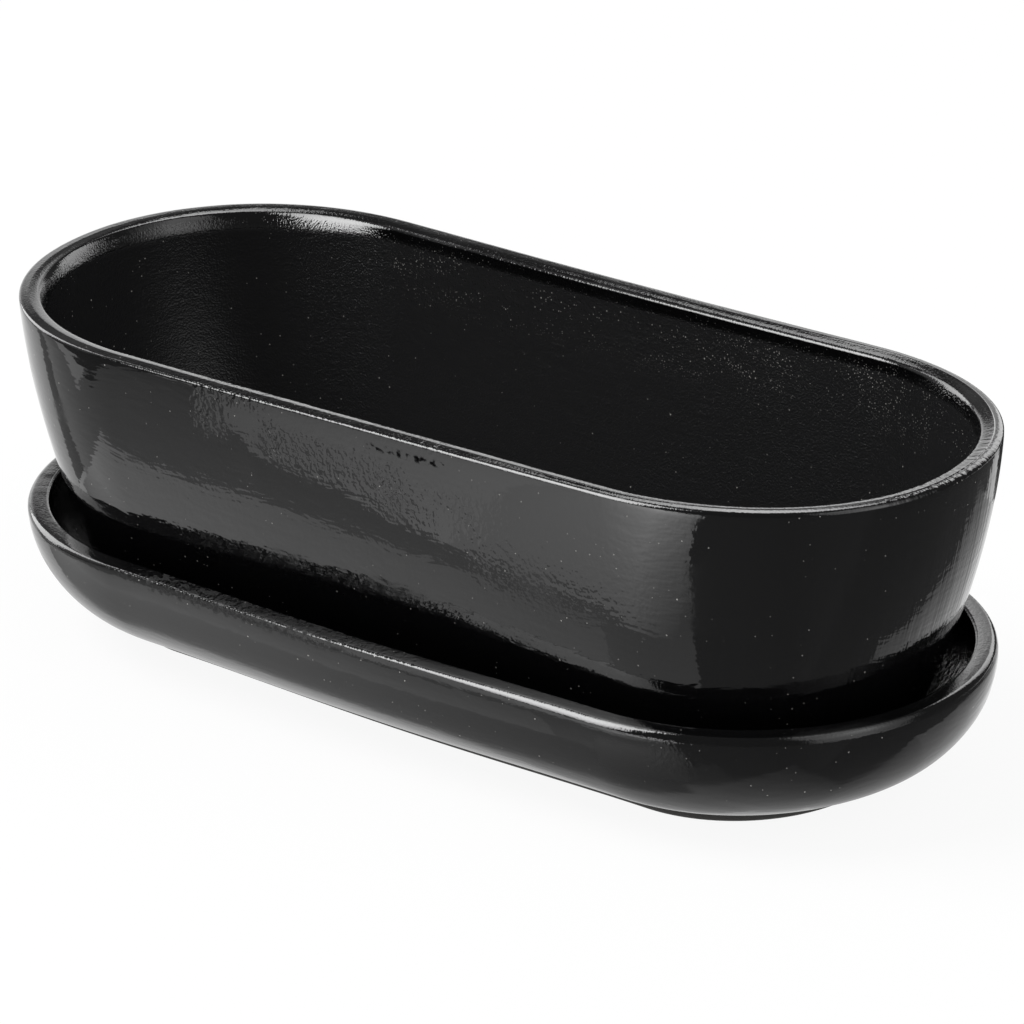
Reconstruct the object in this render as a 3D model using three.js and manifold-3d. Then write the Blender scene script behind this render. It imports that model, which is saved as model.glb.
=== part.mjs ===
// Oval ceramic planter: a glazed pot that stands loose in a matching saucer.
// Millimetres, +Z up. The origin is on the floor, under the middle of the saucer.
// Both pieces are slip-cast shells. Each is lofted through level outlines, from the middle of its
// underside, out round the foot, up the outside, over the rim and down the inside to its floor.
import * as THREE from 'three';
import { mergeVertices } from 'three/addons/utils/BufferGeometryUtils.js';
import Module from 'manifold-3d';

const wasm = await Module();
wasm.setup();

// Driving dimensions
const pot = {
  length: 400, // outside, over the rim
  width: 171.4, // outside the rim, where the long sides meet the round ends
  height: 116.6, // foot to rim
  endReach: 5.3, // how much longer each round end is than a half circle
  endFullness: 2.08, // 2 is an ellipse, more is squarer
  sideBow: -0.8, // the long sides draw in by this at their middle
  sideDraft: 21.4, // how far a long side leans in, from the rim to the base
  endDraft: 33.4, // how far an end leans in, from the rim to the base
  straightShare: 0.233, // the share of the lean that is a straight draft; the rest is belly
  bellyPower: 1.89, // how late the belly turns in towards the base
  wall: 7.75,
  rimOuterRound: 3,
  rimInnerRound: 1.6,
  baseRound: 9, // between the outer wall and the foot
  footWidth: 7, // the ring that it stands on
  footRecess: 3, // how far the underside is raised inside the foot ring
  floor: 9, // thickness of the floor
  floorFillet: 14, // between the inner wall and the floor
};
const drain = {
  count: 3,
  diameter: 14,
  fromEnd: 55, // from the end of the pot's floor to the centre of the last hole
  notchWidth: 10, // gaps in the foot ring, midway between the holes, that let the water out
  notchHeight: 2.2,
};
const saucer = {
  height: 48.5,
  endGutter: 10, // clear gap from the pot's wall to the saucer's inner rim, at the ends
  sideGutter: 8, // the same, where the long sides meet the round ends
  rim: 8.2, // thickness at the rim
  rimOuterRound: 4,
  rimInnerRound: 3,
  endFullness: 2.0,
  sideBow: 2.5, // the long sides swell out by this at their middle
  bowlFullness: 1.854, // roundness of the bowl between rim and foot
  floor: 8.8, // thickness of the floor
  footHeight: 5.8, // from the ground to where the bowl springs from the foot ring
  footLean: 0.6, // how far the outside of the foot ring leans in
  footWidth: 8,
  footRecess: 4.2, // how far the underside is raised inside the foot ring
  endPlay: 5, // between the pot's foot and the rise of the saucer's floor, lengthwise
  sidePlay: 1.2, // the same, sideways
};
const seatGap = 0.3; // between the pot's foot and the saucer's floor

// Fineness of the loft
const endSteps = 24; // round each end
const sideSteps = 6; // along each long side
const wallSteps = 9; // up a wall
const bowlSteps = 10; // up the saucer's bowl
const roundSteps = 5; // round an edge or a fillet
const holeSteps = 24;
const cutMargin = 1; // how far a cutting tool runs past what it cuts

// The straight run of the long sides is the same for every level of both pieces
const straightHalf = pot.length / 2 - pot.width / 2 - pot.endReach;

/** One level of a piece: the half length and half width of its outline, and its height. */
const level = (halfLength, halfWidth, z) => ({ halfLength, halfWidth, z });

/** A level's outline drawn in all round by a distance, at another height. */
const drawnIn = (from, by, z) => level(from.halfLength - by, from.halfWidth - by, z);

/** The level between two outlines at a share of the way from the first to the second. */
function between(first, second, share, z) {
  return level(
    THREE.MathUtils.lerp(first.halfLength, second.halfLength, share),
    THREE.MathUtils.lerp(first.halfWidth, second.halfWidth, share),
    z,
  );
}

/** Whole numbers from 0 to count, as shares from 0 to 1. */
const shares = (count) => Array.from({ length: count + 1 }, (_, i) => i / count);

/** Points round one level: a full end, a long side, the other end and the other long side. */
function outline({ halfLength, halfWidth, z }, fullness, sideBow) {
  const endLength = halfLength - straightHalf;
  const rounded = (v) => Math.sign(v) * Math.abs(v) ** (2 / fullness);
  const points = [];
  for (const side of [1, -1]) {
    for (const share of shares(endSteps)) {
      const turn = Math.PI * (share - 0.5);
      const x = straightHalf + endLength * rounded(Math.cos(turn));
      points.push(new THREE.Vector3(side * x, side * halfWidth * rounded(Math.sin(turn)), z));
    }
    for (const share of shares(sideSteps).slice(1, -1)) {
      const along = 1 - 2 * share;
      const y = halfWidth + sideBow * (1 - along ** 2) ** 2;
      points.push(new THREE.Vector3(side * along * straightHalf, side * y, z));
    }
  }
  return points;
}

/** A closed body through the levels, with a flat cap inside the first and the last outline. */
function loft(levels, fullness, sideBow) {
  const rings = levels.map((l) => outline(l, fullness, sideBow));
  const around = rings[0].length;
  const triangles = [];
  for (let r = 0; r < rings.length - 1; r++) {
    for (let i = 0; i < around; i++) {
      const next = (i + 1) % around;
      const low = r * around;
      const high = low + around;
      triangles.push([low + i, low + next, high + next], [low + i, high + next, high + i]);
    }
  }
  const cap = (ring) => {
    const flat = ring.map((p) => new THREE.Vector2(p.x, p.y));
    return THREE.ShapeUtils.triangulateShape(flat, []);
  };
  const last = (rings.length - 1) * around;
  for (const [a, b, c] of cap(rings[0])) triangles.push([a, c, b]);
  for (const [a, b, c] of cap(rings.at(-1))) triangles.push([last + a, last + b, last + c]);
  const geometry = new THREE.BufferGeometry().setFromPoints(rings.flat());
  geometry.setIndex(triangles.flat());
  return solid(geometry);
}

/** A closed geometry as a solid that can be cut. */
function solid(geometry) {
  geometry.deleteAttribute('normal');
  geometry.deleteAttribute('uv');
  const merged = mergeVertices(geometry);
  return new wasm.Manifold(new wasm.Mesh({
    numProp: 3,
    vertProperties: Float32Array.from(merged.attributes.position.array),
    triVerts: Uint32Array.from(merged.index.array),
  }));
}

/** A solid as a named mesh with its finish. */
function piece(name, body, finish) {
  const { vertProperties, triVerts } = body.getMesh();
  const geometry = new THREE.BufferGeometry();
  geometry.setAttribute('position', new THREE.BufferAttribute(vertProperties, 3));
  geometry.setIndex(new THREE.BufferAttribute(triVerts, 1));
  geometry.computeVertexNormals();
  const mesh = new THREE.Mesh(geometry, new THREE.MeshStandardMaterial(finish));
  mesh.name = name;
  return mesh;
}

// The pot's outer wall
const potRim = level(pot.length / 2, pot.width / 2, pot.height);
const potBase = level(potRim.halfLength - pot.endDraft, potRim.halfWidth - pot.sideDraft, 0);

/** The pot's outer wall at a height above its foot, without the rounding of rim and base. */
function potWall(z) {
  const down = Math.max(1 - z / (pot.height - pot.rimOuterRound), 0);
  const straight = pot.straightShare * down;
  const belly = (1 - pot.straightShare) * down ** pot.bellyPower;
  return between(potRim, potBase, straight + belly, z);
}

/** Where the pot stands: the outer edge of its foot ring. */
const potFoot = drawnIn(potWall(0), pot.baseRound, 0);

/** Where the inner wall ends: the outer edge of the pot's flat floor. */
const potFloor = drawnIn(potWall(0), pot.wall + pot.floorFillet, pot.footRecess + pot.floor);

// The saucer's floor takes the pot's foot, and its rim clears the pot's wall by the gutters
const saucerFloor = level(
  potFoot.halfLength + saucer.endPlay,
  potFoot.halfWidth + saucer.sidePlay,
  saucer.footRecess + saucer.floor,
);
const potAtSaucerRim = potWall(saucer.height - saucerFloor.z - seatGap);
const saucerInnerRim = level(
  potAtSaucerRim.halfLength + saucer.endGutter,
  potAtSaucerRim.halfWidth + saucer.sideGutter,
  saucer.height,
);
const saucerRim = drawnIn(saucerInnerRim, -saucer.rim, saucer.height);

/** Levels of a wall between two heights, the ends included. */
const wallLevels = (from, to, at) => shares(wallSteps).map((s) => at(THREE.MathUtils.lerp(from, to, s)));

/** The pot's outside, from the foot ring up to the shoulder of the rim. */
function potOutside() {
  const footInner = drawnIn(potFoot, pot.footWidth, 0);
  const foot = [
    drawnIn(footInner, pot.footRecess, pot.footRecess),
    footInner,
    potFoot,
  ];
  const base = shares(roundSteps).slice(1, -1).map((s) => {
    const turn = s * Math.PI / 2;
    const z = pot.baseRound * (1 - Math.cos(turn));
    return drawnIn(potWall(z), pot.baseRound * (1 - Math.sin(turn)), z);
  });
  return [...foot, ...base, ...wallLevels(pot.baseRound, pot.height - pot.rimOuterRound, potWall)];
}

/** The rounded rim of a wall, from its outer shoulder over the top to its inner shoulder. */
function rimLevels(outerAt, height, outerRound, thickness, innerRound) {
  const outer = shares(roundSteps).slice(1).map((s) => {
    const turn = s * Math.PI / 2;
    const z = height - outerRound * (1 - Math.sin(turn));
    return drawnIn(outerAt(z), outerRound * (1 - Math.cos(turn)), z);
  });
  const inner = shares(roundSteps).slice(0, -1).map((s) => {
    const turn = s * Math.PI / 2;
    const z = height - innerRound * (1 - Math.cos(turn));
    return drawnIn(outerAt(z), thickness - innerRound * (1 - Math.sin(turn)), z);
  });
  return [...outer, ...inner];
}

/** The pot's inside, from the inner shoulder of the rim down to the floor. */
function potInside() {
  const filletTop = potFloor.z + pot.floorFillet;
  const inner = (z) => drawnIn(potWall(z), pot.wall, z);
  const fillet = shares(roundSteps).slice(1).map((s) => {
    const turn = s * Math.PI / 2;
    const z = filletTop - pot.floorFillet * Math.sin(turn);
    return drawnIn(inner(z), pot.floorFillet * (1 - Math.cos(turn)), z);
  });
  return [...wallLevels(pot.height - pot.rimInnerRound, filletTop, inner), ...fillet];
}

/** The tools that cut the drain holes through the floor and the notches through the foot ring. */
function drainCuts() {
  const holeLength = pot.floor + 2 * cutMargin;
  const radius = drain.diameter / 2;
  const last = potFloor.halfLength - drain.fromEnd;
  const pitch = drain.count > 1 ? 2 * last / (drain.count - 1) : 0;
  const first = -pitch * (drain.count - 1) / 2;
  const cuts = [];
  for (let i = 0; i < drain.count; i++) {
    const hole = new THREE.CylinderGeometry(radius, radius, holeLength, holeSteps);
    hole.rotateX(Math.PI / 2);
    hole.translate(first + i * pitch, 0, potFloor.z + cutMargin - holeLength / 2);
    cuts.push(solid(hole));
  }
  const acrossFoot = 2 * (potFoot.halfWidth + pot.baseRound);
  for (let i = 0; i < drain.count - 1; i++) {
    const notch = new THREE.BoxGeometry(drain.notchWidth, acrossFoot, drain.notchHeight + cutMargin);
    notch.translate(first + (i + 0.5) * pitch, 0, (drain.notchHeight - cutMargin) / 2);
    cuts.push(solid(notch));
  }
  return cuts;
}

/** The pot: an open trough with a rounded rim, a foot ring and drain holes in its floor. */
function buildPot() {
  const rim = rimLevels(potWall, pot.height, pot.rimOuterRound, pot.wall, pot.rimInnerRound);
  const levels = [...potOutside(), ...rim, ...potInside()];
  const body = loft(levels, pot.endFullness, pot.sideBow);
  const cut = drainCuts().reduce((whole, tool) => whole.subtract(tool), body);
  const mesh = piece('planter_pot', cut, { color: 0x0b0b0c, roughness: 0.12, metalness: 0 });
  mesh.position.z = saucerFloor.z + seatGap;
  return mesh;
}

/** How far a bowl's wall has curved in, as a share, at a share of the way down it. */
const bowlCurve = (down) => 1 - (1 - down ** saucer.bowlFullness) ** (1 / saucer.bowlFullness);

/** Levels down a bowl, closer together where it turns towards its floor. */
function bowlLevels(upper, lower, top, bottom) {
  return shares(bowlSteps).map((s) => {
    const down = Math.sin(s * Math.PI / 2);
    return between(upper, lower, bowlCurve(down), THREE.MathUtils.lerp(top, bottom, down));
  });
}

/** The saucer: a deep round-bottomed dish on a foot ring. */
function buildSaucer() {
  const footOuter = drawnIn(saucerFloor, saucer.footLean, 0);
  const footInner = drawnIn(footOuter, saucer.footWidth, 0);
  const foot = [
    drawnIn(footInner, saucer.footRecess, saucer.footRecess),
    footInner,
    footOuter,
  ];
  const outerShoulder = saucer.height - saucer.rimOuterRound;
  const innerShoulder = saucer.height - saucer.rimInnerRound;
  const outside = bowlLevels(saucerRim, saucerFloor, outerShoulder, saucer.footHeight).reverse();
  const rimAt = (z) => drawnIn(saucerRim, 0, z);
  const rim = rimLevels(rimAt, saucer.height, saucer.rimOuterRound, saucer.rim, saucer.rimInnerRound);
  const inside = bowlLevels(saucerInnerRim, saucerFloor, innerShoulder, saucerFloor.z);
  const body = loft([...foot, ...outside, ...rim, ...inside], saucer.endFullness, saucer.sideBow);
  return piece('saucer', body, { color: 0x0c0c0d, roughness: 0.14, metalness: 0 });
}

const planter = new THREE.Group();
planter.add(buildSaucer(), buildPot());

export default planter;
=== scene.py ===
"""Oval ceramic planter: a black glazed pot that stands loose in its saucer.

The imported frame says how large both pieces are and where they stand. Each is built again here as a
fine lofted shell with the unevenness of cast, hand-dipped ware, and is dressed in its glaze.
Metres, +Z up, the origin on the ground under the middle of the saucer.
"""

import logging
import math
from dataclasses import dataclass, field
from enum import Enum

import bpy
import numpy as np
from mathutils import Matrix, Vector, geometry, noise


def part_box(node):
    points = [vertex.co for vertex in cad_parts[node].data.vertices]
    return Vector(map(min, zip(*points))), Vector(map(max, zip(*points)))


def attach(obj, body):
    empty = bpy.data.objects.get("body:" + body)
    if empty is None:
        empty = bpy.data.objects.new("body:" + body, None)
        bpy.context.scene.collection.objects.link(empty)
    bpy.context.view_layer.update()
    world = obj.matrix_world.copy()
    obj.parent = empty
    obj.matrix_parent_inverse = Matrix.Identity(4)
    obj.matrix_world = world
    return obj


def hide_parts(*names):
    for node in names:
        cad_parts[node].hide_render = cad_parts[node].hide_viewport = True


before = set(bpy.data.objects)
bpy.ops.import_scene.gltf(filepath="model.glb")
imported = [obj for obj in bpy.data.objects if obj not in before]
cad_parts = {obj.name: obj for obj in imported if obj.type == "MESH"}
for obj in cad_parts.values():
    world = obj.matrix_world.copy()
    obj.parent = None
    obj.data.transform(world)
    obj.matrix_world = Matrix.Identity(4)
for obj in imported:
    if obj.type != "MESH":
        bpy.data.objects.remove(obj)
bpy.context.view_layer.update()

Socket = bpy.types.NodeSocket
Sockets = bpy.types.NodeOutputs

log = logging.getLogger("planter")

MM = 0.001
TINY = 1e-12
IMAGE_SIZE = 1024


class Piece(Enum):
    """The two fired pieces, by the node that each one replaces."""

    POT = "planter_pot"
    SAUCER = "saucer"


class Body(Enum):
    """The bodies of the frame that the pieces ride on."""

    POT = "pot"
    SAUCER = "saucer"


class Slot(Enum):
    """The record's material slots."""

    POT = "pot_glaze"
    SAUCER = "saucer_glaze"


class Zone(Enum):
    """The finishes on one fired piece, by material slot number."""

    GLAZE = 0
    BARE_CLAY = 1
    INNER_GLAZE = 2


def smooth_step(values: np.ndarray, low: float, high: float) -> np.ndarray:
    """Rises smoothly from 0 to 1.

    Args:
        values: Where to take the step.
        low: Where it starts.
        high: Where it ends.

    Returns:
        The step's height at each value.
    """
    t = np.clip((values - low) / (high - low), 0.0, 1.0)
    return t * t * (3.0 - 2.0 * t)


def noise_at(points: np.ndarray, wavelength: float, seed: float) -> np.ndarray:
    """Smooth noise between about -1 and 1.

    Args:
        points: Rows of x, y, z.
        wavelength: Size of one bump, in metres.
        seed: Shifts the noise, so that two uses differ.

    Returns:
        One value for each point.
    """
    scaled = points / wavelength + seed
    return np.array([noise.noise(Vector(row)) for row in scaled])


@dataclass(frozen=True)
class Outline:
    """Half length and half width of one level of a piece."""

    half_length: float
    half_width: float

    def drawn_in(self, by: float) -> "Outline":
        """The outline that lies inside this one by a distance."""
        return Outline(self.half_length - by, self.half_width - by)

    def towards(self, other: "Outline", share: float) -> "Outline":
        """The outline at a share of the way to another."""
        return Outline(
            self.half_length + (other.half_length - self.half_length) * share,
            self.half_width + (other.half_width - self.half_width) * share,
        )


@dataclass(frozen=True)
class Level:
    """One level of a lofted shell."""

    outline: Outline
    z: float
    inside: float = 0.0
    zone: Zone = Zone.GLAZE
    inset: float = -1.0
    softer: tuple[float, float] = (0.0, 0.0)

    @property
    def on_rim(self) -> bool:
        """Whether the level lies on the rim, at its inset from the outer face."""
        return self.inset >= 0.0


@dataclass(frozen=True)
class Plan:
    """The shape that all levels of a piece share: straight long sides and rounded ends."""

    straight_half: float
    fullness: float
    side_bow: float
    end_stations: int = 170
    side_stations: int = 110

    def ring(self, outline: Outline, z: float) -> np.ndarray:
        """The points of one level.

        Args:
            outline: Its half length and half width.
            z: Its height.

        Returns:
            Rows of x, y, z, once round against the clock.
        """
        end_length = outline.half_length - self.straight_half
        turn = math.pi * (np.arange(self.end_stations) / self.end_stations - 0.5)
        power = 2.0 / self.fullness
        end_x = self.straight_half + end_length * np.abs(np.cos(turn)) ** power
        end_y = outline.half_width * np.sign(np.sin(turn)) * np.abs(np.sin(turn)) ** power
        along = 1.0 - 2.0 * np.arange(self.side_stations) / self.side_stations
        side_x = along * self.straight_half
        side_y = outline.half_width + self.side_bow * (1.0 - along**2) ** 2
        half = np.column_stack([np.r_[end_x, side_x], np.r_[end_y, side_y]])
        both = np.vstack([half, -half])
        return np.column_stack([both, np.full(len(both), z)])


@dataclass(frozen=True)
class Hand:
    """The unevenness that casting, fettling and dipping leave in a piece.

    Each mark is its depth, the size of its bumps and a shift of the noise.
    """

    seed: float = 3.7
    marks: tuple[tuple[float, float, float], ...] = (
        (0.22 * MM, 150.0 * MM, 0.0),
        (0.085 * MM, 34.0 * MM, 11.3),
        (0.02 * MM, 11.0 * MM, 29.1),
    )

    def offset(self, points: np.ndarray) -> np.ndarray:
        """How far each point is pushed out along its normal."""
        return sum(depth * noise_at(points, size, self.seed + shift) for depth, size, shift in self.marks)


def grid_normals(grid: np.ndarray) -> np.ndarray:
    """Normals of a lofted grid, pointing out of the clay.

    Args:
        grid: Levels, by stations, by x, y, z; each level closes on itself.

    Returns:
        Unit normals in the same shape.
    """
    round_it = np.roll(grid, -1, axis=1) - np.roll(grid, 1, axis=1)
    along_it = np.gradient(grid, axis=0)
    normals = np.cross(round_it, along_it)
    return normals / np.maximum(np.linalg.norm(normals, axis=2, keepdims=True), TINY)


@dataclass(frozen=True)
class Settling:
    """How a piece moved as it dried and fired, at its full height, outwards.

    The long sides are given by their left end, middle and right end.
    """

    front: tuple[float, float, float] = (0.0, 0.0, 0.0)
    back: tuple[float, float, float] = (0.0, 0.0, 0.0)
    left: float = 0.0
    right: float = 0.0
    left_belly: float = 0.0
    right_belly: float = 0.0

    @staticmethod
    def along(sides: tuple[float, float, float], share: np.ndarray) -> np.ndarray:
        """The movement along a side, as a smooth curve through its three values."""
        left, middle, right = sides
        return middle + (right - left) / 2.0 * share + ((left + right) / 2.0 - middle) * share**2

    def move(self, grid: np.ndarray, outline: Outline, foot_z: float, height: float) -> np.ndarray:
        """The grid after the movement.

        Args:
            grid: Levels, by stations, by x, y, z.
            outline: The piece's rim.
            foot_z: Where its foot stands.
            height: Its height.

        Returns:
            The moved grid.
        """
        raised = np.clip((grid[..., 2] - foot_z) / height, 0.0, 1.0)
        share_x, share_y = grid[..., 0] / outline.half_length, grid[..., 1] / outline.half_width
        side = np.where(share_y < 0.0, self.along(self.front, share_x), self.along(self.back, share_x))
        end = np.where(share_x < 0.0, self.left, self.right)
        belly = np.where(share_x < 0.0, self.left_belly, self.right_belly)
        arch = 4.0 * raised * (1.0 - raised)
        moved = grid.copy()
        moved[..., 0] += share_x * (end * raised + belly * arch)
        moved[..., 1] += share_y * side * raised
        return moved


@dataclass(frozen=True)
class Rim:
    """The section of a rim, as turns from the inside to the outside.

    Each turn is a length in millimetres and the lean of the surface, in degrees, where it starts
    and ends: 0 is level, less leans inwards, and more leans outwards.
    """

    turns: tuple[tuple[float, float, float], ...]
    steps: int = 7

    def curve(self, width: float) -> list[tuple[float, float]]:
        """The section's points, from the outside to the inside.

        Args:
            width: The thickness that the section has to span.

        Returns:
            Pairs of inset from the outer face and drop below the top.
        """
        across, up = [0.0], [0.0]
        for length, start, end in self.turns:
            piece = length / self.steps
            for i in range(self.steps):
                lean = math.radians(start + (end - start) * (i + 0.5) / self.steps)
                across.append(across[-1] + piece * math.cos(lean))
                up.append(up[-1] - piece * math.sin(lean))
        scale = width / across[-1]
        top = max(up)
        return [((across[-1] - a) * scale, (top - u) * scale) for a, u in zip(across, up)][::-1]


@dataclass(frozen=True)
class SoftRim:
    """Where a rim is rounded more softly than elsewhere, by x, and its section there."""

    section: Rim
    left: tuple[float, float]
    right: tuple[float, float]

    def change(self, usual: list[tuple[float, float]], width: float) -> list[tuple[float, float]]:
        """How the section's points change where the rim is soft.

        Args:
            usual: The points of the usual section.
            width: The thickness that it spans.

        Returns:
            Pairs of more inset and more drop, in the order of the usual points.
        """
        soft = self.section.curve(width)
        top = min(range(len(soft)), key=lambda i: soft[i][1])
        scale = usual[0][1] / soft[0][1]
        drops = [drop * (scale if i < top else 1.0) for i, (_, drop) in enumerate(soft)]
        return [(s[0] - u[0], drop - u[1]) for s, u, drop in zip(soft, usual, drops)]

    def share(self, x: np.ndarray) -> np.ndarray:
        """How soft the rim is, from 0 to 1."""
        return 1.0 - smooth_step(x, *self.left) + smooth_step(x, *self.right)


@dataclass(frozen=True)
class Bulge:
    """A low, soft swelling of the outer wall."""

    at: tuple[float, float, float]
    size: tuple[float, float, float]
    height: float

    def offset(self, grid: np.ndarray) -> np.ndarray:
        """How far each point of a grid is pushed out along its normal."""
        away = (grid - np.array(self.at)) / np.array(self.size)
        return self.height * np.exp(-(away**2).sum(axis=2))


def quarter(steps: int) -> list[float]:
    """Angles of a quarter turn, both ends included."""
    return [math.pi / 2.0 * i / steps for i in range(steps + 1)]


def spread(start: float, end: float, steps: int) -> list[float]:
    """Evenly spaced heights from start to end, both included."""
    return [start + (end - start) * i / steps for i in range(steps + 1)]


@dataclass
class Shell:
    """A fired piece: levels lofted into a closed skin, with flat floors inside the first and last."""

    piece: Piece
    body: Body
    slot: Slot
    plan: Plan | None = None
    hand: Hand = field(default_factory=Hand)
    settling: Settling = field(default_factory=Settling)
    hole_centres: tuple[float, ...] = ()
    hole_radius: float = 0.0
    hole_stations: int = 40
    firm_height: float = 7.0 * MM
    bulges: tuple[Bulge, ...] = ()
    soft_rim: SoftRim | None = None
    end_fullness: float = 2.0
    side_bow: float = 0.0
    foot_width: float = 7.0 * MM
    foot_recess: float = 3.0 * MM
    foot_edge: float = 0.8 * MM
    recess_steps: int = 6
    floor_spacing: float = 6.0 * MM
    floor_margin: float = 3.6 * MM
    floor_reach: float = 3.0 * MM
    join_distance: float = 1e-7

    def level(self, outline: Outline, z: float, inside: float = 0.0, zone: Zone = Zone.GLAZE) -> Level:
        """A level at a height above the foot."""
        return Level(outline, self.foot_z + z, inside, zone)

    def foot_levels(self, foot: Outline) -> list[Level]:
        """The underside, from its raised middle to the edge of the foot ring.

        Args:
            foot: The outside of the foot ring.

        Returns:
            The levels, in order.
        """
        inner_foot = foot.drawn_in(self.foot_width)
        recess = inner_foot.drawn_in(self.foot_recess)
        made = []
        for share in spread(0.0, 1.0, self.recess_steps)[:-1]:
            made.append(self.level(recess.towards(inner_foot, share), self.foot_recess * (1.0 - share)))
        for outline, z in (
            (inner_foot.drawn_in(self.foot_edge / 2.0), self.foot_edge / 3.0),
            (inner_foot.drawn_in(-self.foot_edge), 0.0),
            (foot.drawn_in(self.foot_edge), 0.0),
        ):
            made.append(self.level(outline, z, zone=Zone.BARE_CLAY))
        return made

    def levels(self) -> list[Level]:
        """The levels from the underside up the outside, over the rim and down to the floor."""
        raise NotImplementedError

    def base_grid(self) -> np.ndarray:
        """The settled grid, before the marks of the hand."""
        grid = np.array([self.plan.ring(level.outline, level.z) for level in self.levels()])
        return self.settling.move(grid, self.rim, self.foot_z, self.height)

    def outward(self) -> np.ndarray:
        """The level direction out of the piece at each station.

        Returns:
            Rows of x and y, of length 1.
        """
        around = self.plan.ring(self.rim, 0.0)[:, :2]
        tangent = np.roll(around, -1, axis=0) - np.roll(around, 1, axis=0)
        outward = np.column_stack([tangent[:, 1], -tangent[:, 0]])
        return outward / np.linalg.norm(outward, axis=1, keepdims=True)

    def soften(self, grid: np.ndarray) -> np.ndarray:
        """The grid with its rim rounded more softly where it should be.

        Args:
            grid: Levels, by stations, by x, y, z.

        Returns:
            The new grid.
        """
        change = np.array([level.softer for level in self.levels()])
        share = self.soft_rim.share(grid[..., 0])[..., None]
        made = grid.copy()
        made[..., :2] -= change[:, None, :1] * share * self.outward()
        made[..., 2:] -= change[:, None, 1:] * share
        return made

    def uneven(self, grid: np.ndarray) -> np.ndarray:
        """The grid with the marks of the hand in it.

        Args:
            grid: Levels, by stations, by x, y, z.

        Returns:
            The new grid.
        """
        grid = self.soften(grid)
        normals = grid_normals(grid)
        offset = self.hand.offset(grid.reshape(-1, 3)).reshape(grid.shape[:2])
        offset *= smooth_step(grid[..., 2], self.foot_z, self.foot_z + self.firm_height)
        for bulge in self.bulges:
            offset += bulge.offset(grid)
        return grid + normals * offset[..., None]

    def stations(self, grid: np.ndarray) -> np.ndarray:
        """Where each point lies round the piece and along its profile.

        Args:
            grid: Levels, by stations, by x, y, z.

        Returns:
            Rows of the rim's x and y at the point's station, and the way from the underside.
        """
        around = self.plan.ring(self.rim, 0.0)[:, :2]
        side = self.plan.end_stations + self.plan.side_stations // 2
        way = np.r_[0.0, np.cumsum(np.linalg.norm(np.diff(grid[:, side], axis=0), axis=1))]
        both = np.broadcast_to(around, (*grid.shape[:2], 2))
        along = np.broadcast_to(way[:, None, None], (*grid.shape[:2], 1))
        return np.concatenate([both, along], axis=2).reshape(-1, 3)

    def cap(self, rim: np.ndarray, z: float) -> tuple[np.ndarray, list[tuple[int, ...]]]:
        """A floor inside a ring, with the piece's holes left out.

        Args:
            rim: The ring's points.
            z: The floor's height.

        Returns:
            The floor's points, the ring's own first, then each hole's, then those in between; and
            its triangles, counter-clockwise seen from above.
        """
        outer = rim[:, :2]
        turn = 2.0 * math.pi * np.arange(self.hole_stations) / self.hole_stations
        circle = self.hole_radius * np.column_stack([np.cos(turn), np.sin(turn)])
        holes = [circle + np.array([x, 0.0]) for x in self.hole_centres]
        reach_x, reach_y = np.abs(outer).max(axis=0) - self.floor_spacing
        xs = np.arange(-reach_x, reach_x, self.floor_spacing)
        ys = np.arange(-reach_y, reach_y, self.floor_spacing)
        inner = np.array([(x, y) for x in xs for y in ys if self.on_floor(x, y, outer)])
        flat = np.vstack([outer, *holes, inner])
        edges = []
        start = 0
        for loop in (outer, *holes):
            count = len(loop)
            edges += [(start + i, start + (i + 1) % count) for i in range(count)]
            start += count
        made = geometry.delaunay_2d_cdt([Vector(p) for p in flat], edges, [], 1, self.join_distance, True)
        points = np.array([tuple(p) for p in made[0]])
        order = self.first_ids(made[3], len(flat))
        faces = [tuple(f) for f in made[2] if not self.in_hole(points[list(f)].mean(axis=0))]
        back = {new: old for old, new in enumerate(order)}
        faces = [tuple(back[i] for i in f) for f in faces]
        return np.column_stack([flat, np.full(len(flat), z)]), faces

    @staticmethod
    def first_ids(origins: list[list[int]], count: int) -> list[int]:
        """For each point that went in, the point that came out."""
        found = {old: new for new, olds in enumerate(origins) for old in olds}
        return [found[i] for i in range(count)]

    def in_hole(self, point: np.ndarray) -> bool:
        """Whether a point of the floor lies inside a hole."""
        return any(math.hypot(point[0] - x, point[1]) < self.hole_radius for x in self.hole_centres)

    def on_floor(self, x: float, y: float, outer: np.ndarray) -> bool:
        """Whether a point lies well inside the ring and clear of the holes.

        Args:
            x: Where it lies along the piece.
            y: Where it lies across it.
            outer: The ring's points, as x and y.

        Returns:
            True if the floor can have a point there.
        """
        near = np.abs(np.abs(outer[:, 0]) - abs(x)) < self.floor_reach
        reach = np.abs(outer)[near][:, 1]
        inside = len(reach) > 0 and abs(y) < reach.min() - self.floor_margin
        clear = all(math.hypot(x - h, y) > self.hole_radius + self.floor_margin for h in self.hole_centres)
        return inside and clear

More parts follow.
